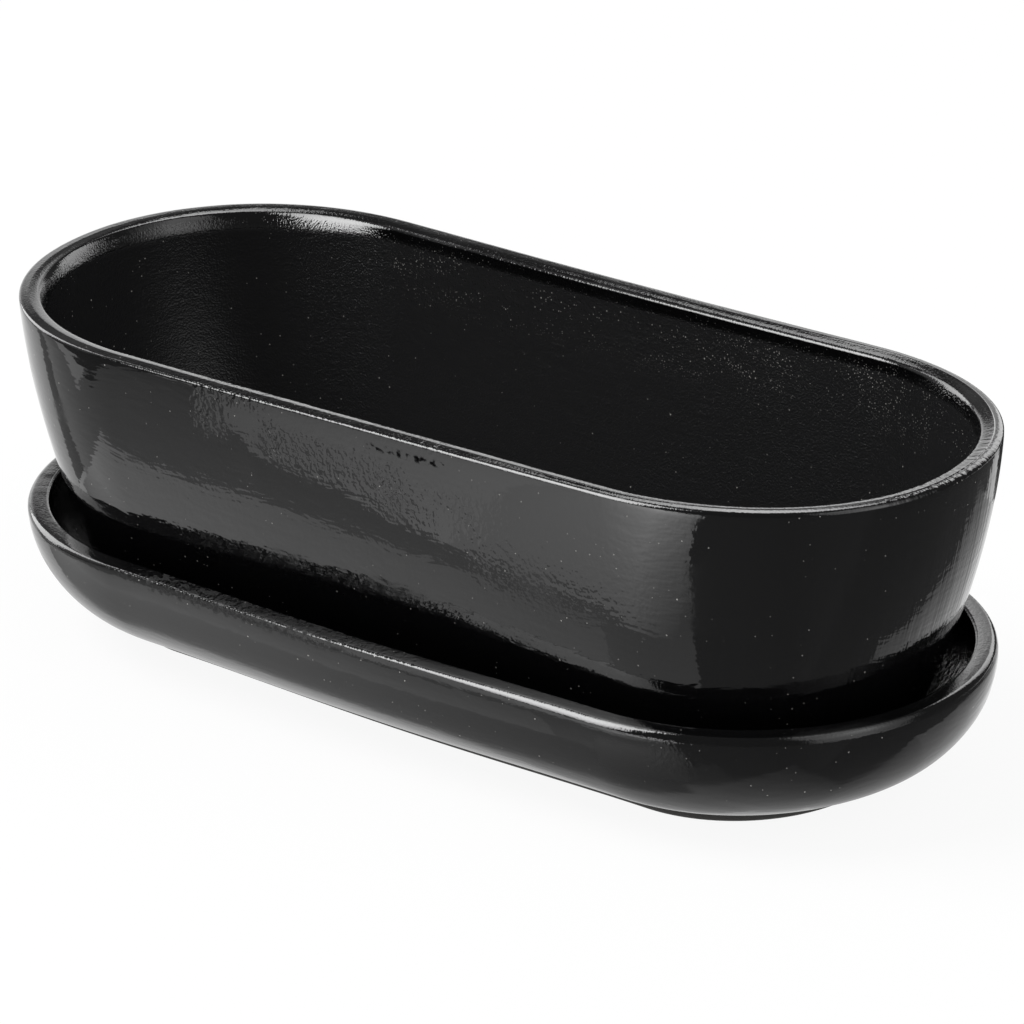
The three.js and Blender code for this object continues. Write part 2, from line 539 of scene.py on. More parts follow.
    def build(self) -> bpy.types.Object:
        """Makes the piece's mesh, ready to be dressed.

        Returns:
            The new object, riding on its body and standing for its node.
        """
        levels = self.levels()
        grid = self.uneven(self.base_grid())
        count, around = grid.shape[:2]
        index = np.arange(count * around).reshape(count, around)
        turned = np.roll(index, -1, axis=1)
        quads = np.stack([index[:-1], turned[:-1], turned[1:], index[1:]], axis=-1)
        faces = [tuple(quad) for quad in quads.reshape(-1, 4).tolist()]
        zones = [level.zone.value for level in levels[:-1] for _ in range(around)]
        inside = [level.inside for level in levels for _ in range(around)]
        rim = [float(level.on_rim) for level in levels for _ in range(around)]
        points, stations = [grid.reshape(-1, 3)], [self.stations(grid)]
        hole_loops = []
        for edge in (0, count - 1):
            cap_points, triangles = self.cap(grid[edge], float(grid[edge][:, 2].mean()))
            extra = len(cap_points) - around
            new = np.r_[index[edge], len(rim) + np.arange(extra)].tolist()
            for a, b, c in triangles:
                faces.append((new[a], new[c], new[b]) if edge == 0 else (new[a], new[b], new[c]))
            zones += [levels[edge].zone.value] * len(triangles)
            inside += [levels[edge].inside] * extra
            rim += [0.0] * extra
            points.append(cap_points[around:])
            stations.append(cap_points[around:])
            starts = [around + i * self.hole_stations for i in range(len(self.hole_centres))]
            hole_loops.append([new[start : start + self.hole_stations] for start in starts])
        for low, high in zip(*hole_loops):
            for i in range(self.hole_stations):
                j = (i + 1) % self.hole_stations
                faces.append((low[i], high[i], high[j], low[j]))
                zones.append(Zone.GLAZE.value)
        mesh = bpy.data.meshes.new(self.piece.value + "_fired")
        mesh.from_pydata(np.vstack(points).tolist(), [], faces)
        mesh.polygons.foreach_set("material_index", zones)
        mesh.polygons.foreach_set("use_smooth", [True] * len(faces))
        for name, values in (("inside", inside), ("rim", rim)):
            mesh.attributes.new(name, "FLOAT", "POINT").data.foreach_set("value", values)
        station = mesh.attributes.new("station", "FLOAT_VECTOR", "POINT")
        station.data.foreach_set("vector", np.vstack(stations).reshape(-1))
        mesh.update()
        fired = bpy.data.objects.new(self.piece.value + "_fired", mesh)
        bpy.context.scene.collection.objects.link(fired)
        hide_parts(self.piece.value)
        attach(fired, self.body.value)
        return fired


@dataclass
class Pot(Shell):
    """The pot: a tapered trough with a rounded rim, a foot ring and drain holes."""

    piece: Piece = Piece.POT
    body: Body = Body.POT
    slot: Slot = Slot.POT
    settling: Settling = Settling(
        front=(3.9 * MM, 2.1 * MM, -8.3 * MM),
        back=(0.2 * MM, -1.6 * MM, 1.8 * MM),
        left=-0.2 * MM,
        right=0.1 * MM,
        left_belly=0.3 * MM,
        right_belly=0.3 * MM,
    )
    side_draft: float = 21.4 * MM
    end_draft: float = 33.4 * MM
    straight_share: float = 0.233
    belly_power: float = 1.89
    wall: float = 7.75 * MM
    rim_outer_round: float = 3.0 * MM
    rim_section: Rim = Rim(
        (
            (5.6, -80.0, -46.0),
            (1.0, -46.0, -16.0),
            (2.5, -16.0, -6.0),
            (0.7, -6.0, 2.0),
            (1.9, 2.0, 3.0),
            (0.5, 3.0, 14.0),
            (1.0, 14.0, 76.0),
            (0.5, 76.0, 88.0),
        )
    )
    soft_rim: SoftRim = SoftRim(
        Rim(
            (
                (5.6, -80.0, -46.0),
                (1.0, -46.0, -16.0),
                (2.5, -16.0, -6.0),
                (0.7, -6.0, 2.0),
                (0.6, 2.0, 3.0),
                (1.2, 3.0, 20.0),
                (2.3, 20.0, 76.0),
                (0.4, 76.0, 88.0),
            )
        ),
        left=(-0.22, -0.21),
        right=(0.09, 0.15),
    )
    bulges: tuple[Bulge, ...] = (
        Bulge((-0.0435, -0.0862, 0.1025), (0.0042, 0.03, 0.0085), 0.15 * MM),
        Bulge((0.120, -0.082, 0.108), (0.010, 0.03, 0.012), 0.10 * MM),
        Bulge((0.137, -0.078, 0.098), (0.006, 0.03, 0.010), -0.06 * MM),
    )
    lip: float = 2.4 * MM
    left_lip_ends: tuple[float, float] = (-0.145, -0.105)
    right_lip: tuple[float, float, float] = (0.12, 0.145, 0.45)
    rim_lean: float = 8.0
    back_lean: float = 5.5
    back_lean_inset: float = 1.5 * MM
    rim_lean_reach: float = 6.0 * MM
    rim_lean_depth: float = 25.0 * MM
    rim_inner_depth: float = 3.0 * MM
    ridge_height: float = 0.22 * MM
    ridge_width: float = 0.8 * MM
    ridge_inset: float = 2.9 * MM
    ridge_from: tuple[float, float] = (0.04, 0.11)
    base_round: float = 9.0 * MM
    floor: float = 9.0 * MM
    floor_fillet: float = 14.0 * MM
    end_reach: float = 5.3 * MM
    end_fullness: float = 2.08
    side_bow: float = -0.8 * MM
    hole_from_end: float = 55.0 * MM
    notch_width: float = 10.0 * MM
    notch_height: float = 2.2 * MM
    notch_depth: float = 18.0 * MM
    notch_shares: tuple[float, float] = (0.3, 0.6)
    hole_radius: float = 7.0 * MM
    base_steps: int = 12
    wall_steps: int = 60
    inner_steps: int = 50
    fillet_steps: int = 14

    def __post_init__(self) -> None:
        """Takes the outer size and the height of the foot from the frame."""
        low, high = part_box(self.piece.value)
        self.rim = Outline((high[0] - low[0]) / 2.0, (high[1] - low[1]) / 2.0)
        self.foot_z = low[2]
        self.height = high[2] - low[2]
        self.base = Outline(self.rim.half_length - self.end_draft, self.rim.half_width - self.side_draft)
        straight = self.rim.half_length - self.rim.half_width - self.end_reach
        self.plan = Plan(straight, self.end_fullness, self.side_bow)
        floor_end = self.base.half_length - self.wall - self.floor_fillet
        last = floor_end - self.hole_from_end
        self.hole_centres = (-last, 0.0, last)

    def wall_at(self, z: float) -> Outline:
        """The outer wall at a height above the foot.

        Args:
            z: The height.

        Returns:
            Its outline: a straight draft, and a belly that grows towards the foot.
        """
        down = max(1.0 - z / (self.height - self.rim_outer_round), 0.0)
        straight = self.straight_share * down
        belly = (1.0 - self.straight_share) * down**self.belly_power
        return self.rim.towards(self.base, straight + belly)

    def levels(self) -> list[Level]:
        """The levels from the underside up the outside, over the rim and down to the floor.

        Returns:
            The levels, in order.
        """
        made = self.foot_levels(self.wall_at(0.0).drawn_in(self.base_round))
        for turn in quarter(self.base_steps)[2:-1]:
            z = self.base_round * (1.0 - math.cos(turn))
            inset = self.base_round * (1.0 - math.sin(turn))
            made.append(self.level(self.wall_at(z).drawn_in(inset), z))
        inner = self.wall + self.lip
        section = self.rim_section.curve(inner)
        outer_top, inner_top = self.height - section[0][1], self.height - section[-1][1]
        made += [self.level(self.wall_at(z), z) for z in spread(self.base_round, outer_top, self.wall_steps)]
        softer = self.soft_rim.change(section, inner)
        for (inset, drop), change in zip(section[1:-1], softer[1:-1]):
            inside = float(np.clip((inset - self.wall) / self.lip, 0.0, 1.0))
            z = self.height - drop
            outline = self.wall_at(z).drawn_in(inset)
            made.append(Level(outline, self.foot_z + z, inside, Zone.GLAZE, inset, change))
        floor_top = self.foot_recess + self.floor
        fillet_top = floor_top + self.floor_fillet
        for z in spread(inner_top, fillet_top, self.inner_steps):
            made.append(self.level(self.wall_at(z).drawn_in(inner), z, 1.0, Zone.INNER_GLAZE))
        for turn in quarter(self.fillet_steps)[1:]:
            z = fillet_top - self.floor_fillet * math.sin(turn)
            inset = inner + self.floor_fillet * (1.0 - math.cos(turn))
            made.append(self.level(self.wall_at(z).drawn_in(inset), z, 1.0, Zone.INNER_GLAZE))
        return made

    def lean_rim(self, shaped: np.ndarray) -> np.ndarray:
        """How far the rim is lowered: it leans a little to the front all round its top.

        Args:
            shaped: The grid so far.

        Returns:
            Levels, by stations.
        """
        crest = int(np.argmax(shaped[:, 0, 2]))
        insets = np.array([level.inset for level in self.levels()])
        outer = int(np.argmin(np.abs(insets - self.back_lean_inset)))
        at_back = shaped[crest, :, 1] > 0.0
        start = np.where(at_back, shaped[outer, :, 1], shaped[crest, :, 1])
        lean = np.where(at_back, self.back_lean, self.rim_lean)
        forward = np.clip(start - shaped[..., 1], 0.0, self.rim_lean_reach)
        top = shaped[..., 2].max()
        near_top = smooth_step(shaped[..., 2], top - self.rim_lean_depth, top - self.rim_inner_depth)
        return np.tan(np.radians(lean)) * forward * near_top

    def lip_shift(self, grid: np.ndarray) -> np.ndarray:
        """How the inner face moves outwards where the rim's inner rounding is tight.

        Args:
            grid: Levels, by stations, by x, y, z.

        Returns:
            The movement in x and y, in the order of the grid.
        """
        start, full, share = self.right_lip
        width = 1.0 - smooth_step(grid[..., 0], *self.left_lip_ends)
        width += share * smooth_step(grid[..., 0], start, full)
        depth = np.array([level.inside for level in self.levels()])
        amount = self.lip * (1.0 - width) * depth[:, None]
        return amount[..., None] * self.outward()

    def ridge(self, grid: np.ndarray) -> np.ndarray:
        """How far the glaze stands up in a low ridge along the right part of the rim.

        Args:
            grid: Levels, by stations, by x, y, z.

        Returns:
            Levels, by stations.
        """
        inset = np.array([level.inset for level in self.levels()])
        across = np.exp(-(((inset - self.ridge_inset) / self.ridge_width) ** 2))
        along = smooth_step(grid[..., 0], *self.ridge_from)
        return self.ridge_height * across[:, None] * along

    def notches(self, grid: np.ndarray) -> np.ndarray:
        """How far the foot ring is scooped out where water runs from under the pot.

        Args:
            grid: Levels, by stations, by x, y, z.

        Returns:
            Levels, by stations.
        """
        flat, wide = self.notch_shares
        middle = self.hole_centres[-1] / 2.0
        across = np.abs(np.abs(grid[..., 0]) - middle)
        window = 1.0 - smooth_step(across, self.notch_width * flat, self.notch_width * wide)
        above = grid[..., 2] - self.foot_z
        low = 1.0 - smooth_step(above, 0.0, self.base_round * wide)
        outside = np.abs(grid[..., 1]) > self.base.half_width - self.notch_depth
        return np.where(outside, np.maximum(self.notch_height - above, 0.0) * window * low, 0.0)

    def uneven(self, grid: np.ndarray) -> np.ndarray:
        """The grid with its lip and rim shaped, the marks of the hand and the notches in the foot.

        Args:
            grid: Levels, by stations, by x, y, z.

        Returns:
            The new grid.
        """
        shifted = grid.copy()
        shifted[..., :2] += self.lip_shift(grid)
        shaped = super().uneven(shifted)
        shaped[..., 2] += self.ridge(grid) - self.lean_rim(shaped) + self.notches(grid)
        return shaped


@dataclass
class Saucer(Shell):
    """The saucer: a deep round-bottomed dish with a thick rounded rim, on a foot ring."""

    pot: Pot | None = None
    piece: Piece = Piece.SAUCER
    body: Body = Body.SAUCER
    slot: Slot = Slot.SAUCER
    hand: Hand = field(default_factory=lambda: Hand(seed=8.3))
    settling: Settling = Settling(
        front=(3.2 * MM, 1.1 * MM, -2.4 * MM),
        back=(0.0, -0.1 * MM, -0.5 * MM),
        left=-0.5 * MM,
        right=0.1 * MM,
        left_belly=-0.3 * MM,
        right_belly=0.9 * MM,
    )
    rim_thickness: float = 8.2 * MM
    rim_section: Rim = Rim(
        (
            (2.0, -86.0, -4.0),
            (2.8, -2.0, 1.0),
            (2.8, 1.0, 6.0),
            (1.0, 6.0, 42.0),
            (0.7, 42.0, 80.0),
            (2.2, 80.0, 88.0),
        )
    )
    soft_rim: SoftRim = SoftRim(
        Rim(
            (
                (2.0, -86.0, -4.0),
                (2.7, -2.0, 1.0),
                (2.1, 1.0, 6.0),
                (1.5, 6.0, 42.0),
                (2.0, 42.0, 80.0),
                (0.9, 80.0, 88.0),
            )
        ),
        left=(-0.145, -0.105),
        right=(0.02, 0.11),
    )
    bowl_fullness: float = 1.854
    floor: float = 8.8 * MM
    foot_height: float = 5.8 * MM
    foot_lean: float = 0.6 * MM
    foot_width: float = 8.0 * MM
    foot_recess: float = 4.2 * MM
    end_play: float = 5.0 * MM
    side_play: float = 1.2 * MM
    side_bow: float = 2.5 * MM
    foot_steps: int = 5
    bowl_steps: int = 48
    inner_steps: int = 40

    def __post_init__(self) -> None:
        """Takes the outer size from the frame and the floor from the pot's foot."""
        low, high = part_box(self.piece.value)
        self.foot_z = low[2]
        self.height = high[2]
        self.rim = Outline((high[0] - low[0]) / 2.0, (high[1] - low[1]) / 2.0 - self.side_bow)
        foot = self.pot.wall_at(0.0).drawn_in(self.pot.base_round)
        self.floor_outline = Outline(foot.half_length + self.end_play, foot.half_width + self.side_play)
        self.plan = Plan(self.pot.plan.straight_half, self.end_fullness, self.side_bow)

    def bowl(self, upper: Outline, top: float, bottom: float, steps: int) -> list[tuple[Outline, float]]:
        """The curve of the bowl, from below its rim to its floor.

        Args:
            upper: The outline at the top.
            top: The height of the top.
            bottom: The height of the floor.
            steps: How many steps to take.

        Returns:
            Outlines and heights, both ends included.
        """
        made = []
        for turn in quarter(steps):
            down = math.sin(turn)
            curve = 1.0 - (1.0 - down**self.bowl_fullness) ** (1.0 / self.bowl_fullness)
            made.append((upper.towards(self.floor_outline, curve), top + (bottom - top) * down))
        return made

    def levels(self) -> list[Level]:
        """The levels from the underside up the outside, over the rim and down to the floor.

        Returns:
            The levels, in order.
        """
        foot = self.floor_outline.drawn_in(self.foot_lean)
        made = self.foot_levels(foot)
        made.append(self.level(foot, self.foot_edge, zone=Zone.BARE_CLAY))
        for z in spread(self.foot_edge, self.foot_height, self.foot_steps)[1:]:
            outline = foot.drawn_in(-self.foot_lean * z / self.foot_height)
            made.append(self.level(outline, z, zone=Zone.BARE_CLAY))
        section = self.rim_section.curve(self.rim_thickness)
        outside = self.bowl(self.rim, self.height - section[0][1], self.foot_height, self.bowl_steps)
        made += [self.level(outline, z) for outline, z in reversed(outside[1:-1])]
        for (inset, drop), change in zip(section[:-1], self.soft_rim.change(section, self.rim_thickness)):
            outline = self.rim.drawn_in(inset)
            made.append(Level(outline, self.height - drop, inset=inset, softer=change))
        inner_rim = self.rim.drawn_in(self.rim_thickness)
        floor_top = self.foot_recess + self.floor
        inside = self.bowl(inner_rim, self.height - section[-1][1], floor_top, self.inner_steps)
        made += [self.level(outline, z) for outline, z in inside]
        return made


class Nodes:
    """A short way to make and join the nodes of one tree."""

    def __init__(self, tree: bpy.types.NodeTree) -> None:
        """Keeps the tree."""
        self.tree = tree

    def add(self, kind: str, **settings: object) -> bpy.types.Node:
        """Makes a node.

        Args:
            kind: Its type, without the leading words.
            **settings: Its properties, or in the case of in_NAME, the values of its inputs.

        Returns:
            The node.
        """
        node = self.tree.nodes.new("ShaderNode" + kind)
        for name, value in settings.items():
            if name.startswith("in_"):
                self.feed(node, name[3:].replace("_", " "), value)
            else:
                setattr(node, name, value)
        return node

    def feed(self, node: bpy.types.Node, name: str | int, value: object) -> None:
        """Sets an input, or links a socket into it.

        Args:
            node: The node.
            name: The input's name or number.
            value: What goes in.
        """
        socket = node.inputs[int(name)] if str(name).isdigit() else node.inputs[name]
        if isinstance(value, Socket):
            self.tree.links.new(value, socket)
        else:
            socket.default_value = value

    def math(self, operation: str, *values: object, clamp: bool = False) -> Socket:
        """The result of a sum.

        Args:
            operation: Which sum.
            *values: One to three numbers or sockets.
            clamp: Whether to keep the result between 0 and 1.

        Returns:
            The result's socket.
        """
        node = self.add("Math", operation=operation, use_clamp=clamp)
        for i, value in enumerate(values):
            self.feed(node, i, value)
        return node.outputs[0]

    def times(self, first: object, *others: object) -> Socket:
        """The product of numbers and sockets.

        Args:
            first: The first factor.
            *others: The other factors.

        Returns:
            The product's socket.
        """
        for other in others:
            first = self.math("MULTIPLY", first, other)
        return first

    def ramp(self, value: object, low: object, high: object, out: tuple = (0.0, 1.0)) -> Socket:
        """A smooth step.

        Args:
            value: Where to take it.
            low: Where it starts.
            high: Where it ends.
            out: Its value at the start and at the end.

        Returns:
            The step's socket.
        """
        node = self.add("MapRange", interpolation_type="SMOOTHSTEP")
        names = ("Value", "From Min", "From Max", "To Min", "To Max")
        for name, given in zip(names, (value, low, high, *out)):
            self.feed(node, name, given)
        return node.outputs["Result"]

    def cloud(self, place: object, scale: object, detail: float) -> Socket:
        """Smooth noise about 0.5."""
        return self.add("TexNoise", in_Vector=place, in_Scale=scale, in_Detail=detail).outputs["Fac"]

    def blend(self, share: object, first: tuple, second: tuple) -> Socket:
        """A colour between two.

        Args:
            share: How much of the second.
            first: The first's red, green and blue.
            second: The second's.

        Returns:
            The colour's socket.
        """
        mix = self.add("Mix", data_type="RGBA")
        for i, value in ((0, share), (6, (*first, 1.0)), (7, (*second, 1.0))):
            self.feed(mix, i, value)
        return mix.outputs[2]

    def surface(self, shader: Socket) -> None:
        """Feeds the surface of the tree's material."""
        self.feed(self.add("OutputMaterial"), "Surface", shader)


def new_material(name: str) -> tuple[bpy.types.Material, Nodes]:
    """Makes an empty material.

    Args:
        name: Its name.

    Returns:
        The material, and a way to its nodes.
    """
    made = bpy.data.materials.new(name)
    made.use_nodes = True
    made.node_tree.nodes.clear()
    return made, Nodes(made.node_tree)


class Effect:
    """A shader node group that the finishes share, made once."""

    name = ""
    inputs: dict[str, tuple[str, float]] = {}
    outputs: tuple[str, ...] = ("Height",)

    def tree(self) -> bpy.types.NodeTree:
        """Makes the group, the first time that it is asked for.

        Returns:
            The group's tree.
        """
        made = bpy.data.node_groups.get(self.name)
        if made is None:
            made = bpy.data.node_groups.new(self.name, "ShaderNodeTree")
            for name, (kind, value) in self.inputs.items():
                socket = made.interface.new_socket(name, in_out="INPUT", socket_type="NodeSocket" + kind)
                if kind == "Float":
                    socket.default_value = value
            for name in self.outputs:
                made.interface.new_socket(name, in_out="OUTPUT", socket_type="NodeSocketFloat")
            nodes = Nodes(made)
            given = made.nodes.new("NodeGroupInput").outputs
            result = made.nodes.new("NodeGroupOutput")
            for name, value in zip(self.outputs, self.wire(nodes, given)):
                nodes.feed(result, name, value)
        return made

    def wire(self, nodes: Nodes, given: Sockets) -> tuple[Socket, ...]:
        """Builds the inside of the group.

        Args:
            nodes: The group's nodes.
            given: The group's inputs.

        Returns:
            The sockets that feed its outputs, in their order.
        """
        raise NotImplementedError

    def place(self, nodes: Nodes, **values: object) -> Sockets:
        """Places the group in a material.

        Args:
            nodes: The material's nodes.
            **values: Its inputs, by name in small letters.

        Returns:
            The group's outputs.
        """
        node = nodes.tree.nodes.new("ShaderNodeGroup")
        node.node_tree = self.tree()
        for name, value in values.items():
            nodes.feed(node, name.replace("_", " ").title(), value)
        return node.outputs


class Dimples(Effect):
    """Dimples close together, like hammered metal or the skin of an orange."""

    name = "dimples"
    inputs = {"Place": ("Vector", 0.0), "Size": ("Float", 0.002), "Depth": ("Float", 0.02)}

    def wire(self, nodes: Nodes, given: Sockets) -> tuple[Socket, ...]:
        """Noise of one size, with its height in millimetres."""
        made = nodes.cloud(given["Place"], nodes.math("DIVIDE", 1.0, given["Size"]), 1.0)
        return (nodes.times(nodes.math("SUBTRACT", made, 0.5), given["Depth"]),)


class Runs(Effect):
    """Soft waves drawn out along or across the piece, as brushed or draining glaze leaves them."""

    name = "runs"
    inputs = {
        "Station": ("Vector", 0.0),
        "Round Size": ("Float", 0.012),
        "Profile Size": ("Float", 0.003),
        "Depth": ("Float", 0.02),
        "Bend": ("Float", 0.6),
    }
    bend_scale = 40.0
    bend_reach = 6.0

    def wire(self, nodes: Nodes, given: Sockets) -> tuple[Socket, ...]:
        """Noise that is stretched by its two sizes and bent by slower noise.

        Args:
            nodes: The group's nodes.
            given: The group's inputs.

        Returns:
            The height, in millimetres.
        """
        parts = nodes.add("SeparateXYZ", in_Vector=given["Station"]).outputs
        around = [nodes.math("DIVIDE", part, given["Round Size"]) for part in (parts["X"], parts["Y"])]
        along = nodes.math("DIVIDE", parts["Z"], given["Profile Size"])
        slow = nodes.cloud(given["Station"], self.bend_scale, 0.0)
        bend = nodes.times(slow, nodes.times(given["Bend"], self.bend_reach))
        place = nodes.add("CombineXYZ", in_X=around[0], in_Y=around[1], in_Z=nodes.math("ADD", along, bend))
        fine = nodes.cloud(place.outputs[0], 1.0, 1.0)
        return (nodes.times(nodes.math("SUBTRACT", fine, 0.5), given["Depth"]),)


class Specks(Effect):
    """Round specks or pits, scattered unevenly."""

    name = "specks"
    inputs = {
        "Place": ("Vector", 0.0),
        "Spacing": ("Float", 0.006),
        "Radius": ("Float", 0.0003),
        "Share": ("Float", 0.5),
    }
    outputs = ("Mask",)
    sizes = (0.4, 1.2)
    edge = (0.6, 1.3)
    strengths = (0.3, 1.0)
    crowd_scale = 28.0
    crowd_span = (0.35, 0.65)
    crowding = (0.3, 1.5)

    def wire(self, nodes: Nodes, given: Sockets) -> tuple[Socket, ...]:
        """A spot in some of the cells of a scatter, with its size and strength picked by the cell.

        Args:
            nodes: The group's nodes.
            given: The group's inputs.

        Returns:
            The mask.
        """
        scale = nodes.math("DIVIDE", 1.0, given["Spacing"])
        cells = nodes.add("TexVoronoi", in_Vector=given["Place"], in_Scale=scale)
        picks = nodes.add("SeparateColor", in_Color=cells.outputs["Color"]).outputs
        radius = nodes.math("DIVIDE", given["Radius"], given["Spacing"])
        size = nodes.times(radius, nodes.ramp(picks[1], 0.0, 1.0, self.sizes))
        away = nodes.math("DIVIDE", cells.outputs["Distance"], size)
        spot = nodes.ramp(away, *self.edge, (1.0, 0.0))
        clouds = nodes.cloud(given["Place"], self.crowd_scale, 0.0)
        crowd = nodes.ramp(clouds, *self.crowd_span, self.crowding)
        chosen = nodes.math("LESS_THAN", picks[0], nodes.times(given["Share"], crowd))
        strength = nodes.ramp(picks[2], 0.0, 1.0, self.strengths)
        return (nodes.times(spot, chosen, strength),)


class Patches(Effect):
    """Soft clouds, for what is thicker or rougher here and there, and where painted glints crowd."""

    name = "patches"
    inputs = {"Place": ("Vector", 0.0), "Size": ("Float", 0.03), "Cover": ("Float", 0.5)}
    outputs = ("Mask",)
    edges = (0.75, 0.25)
    soft = 0.1

    def wire(self, nodes: Nodes, given: Sockets) -> tuple[Socket, ...]:
        """Noise, raised until it covers the share that is asked for.

        Args:
            nodes: The group's nodes.
            given: The group's inputs.

        Returns:
            The mask.
        """
        made = nodes.cloud(given["Place"], nodes.math("DIVIDE", 1.0, given["Size"]), 1.5)
        edge = nodes.ramp(given["Cover"], 0.0, 1.0, self.edges)
        low, high = nodes.math("SUBTRACT", edge, self.soft), nodes.math("ADD", edge, self.soft)
        return (nodes.ramp(made, low, high),)


@dataclass(frozen=True)
class Scatter:
    """Specks: how far apart they lie, how large they are, and in what share of the places."""

    spacing: float
    radius: float
    share: float

    def mask(self, nodes: Nodes, place: Socket) -> Socket:
        """Up to 1 on the specks."""
        sizes = {"spacing": self.spacing, "radius": self.radius, "share": self.share}
        return Specks().place(nodes, place=place, **sizes)["Mask"]


@dataclass(frozen=True)
class Clouds:
    """Patches: how large they are, and how much they cover."""

    size: float
    cover: float

    def mask(self, nodes: Nodes, place: Socket) -> Socket:
        """Up to 1 in the patches."""
        return Patches().place(nodes, place=place, size=self.size, cover=self.cover)["Mask"]


@dataclass(frozen=True)
class Drawn:
    """Drawn-out waves: their sizes round the piece and along its profile, depth and bend."""

    round_size: float
    profile_size: float
    depth: float
    bend: float = 0.6

    def height(self, nodes: Nodes, station: Socket, mask: Socket) -> Socket:
        """The height of the waves, in millimetres.

        Args:
            nodes: The material's nodes.
            station: Where each point lies round the piece and along its profile.
            mask: How much of the depth they have.

        Returns:
            The height's socket.
        """
        sizes = {"round_size": self.round_size, "profile_size": self.profile_size, "bend": self.bend}
        made = Runs().place(nodes, station=station, depth=nodes.times(mask, self.depth), **sizes)
        return made["Height"]


@dataclass(frozen=True)
class Window:
    """A soft-edged box of space, where a mark lies on the piece."""

    low: tuple[float, float, float]
    high: tuple[float, float, float]
    soft: float
    strength: float = 1.0

    def mask(self, nodes: Nodes, place: Socket) -> Socket:
        """The mark's strength inside the box, and 0 well outside it.

        Args:
            nodes: The material's nodes.
            place: Where each point lies.

        Returns:
            The mask's socket.
        """
        parts = nodes.add("SeparateXYZ", in_Vector=place).outputs
        result = self.strength
        for axis in range(3):
            low, high = self.low[axis], self.high[axis]
            above = nodes.ramp(parts[axis], low - self.soft, low + self.soft)
            below = nodes.ramp(parts[axis], high - self.soft, high + self.soft, (1.0, 0.0))
            result = nodes.times(result, above, below)
        return result


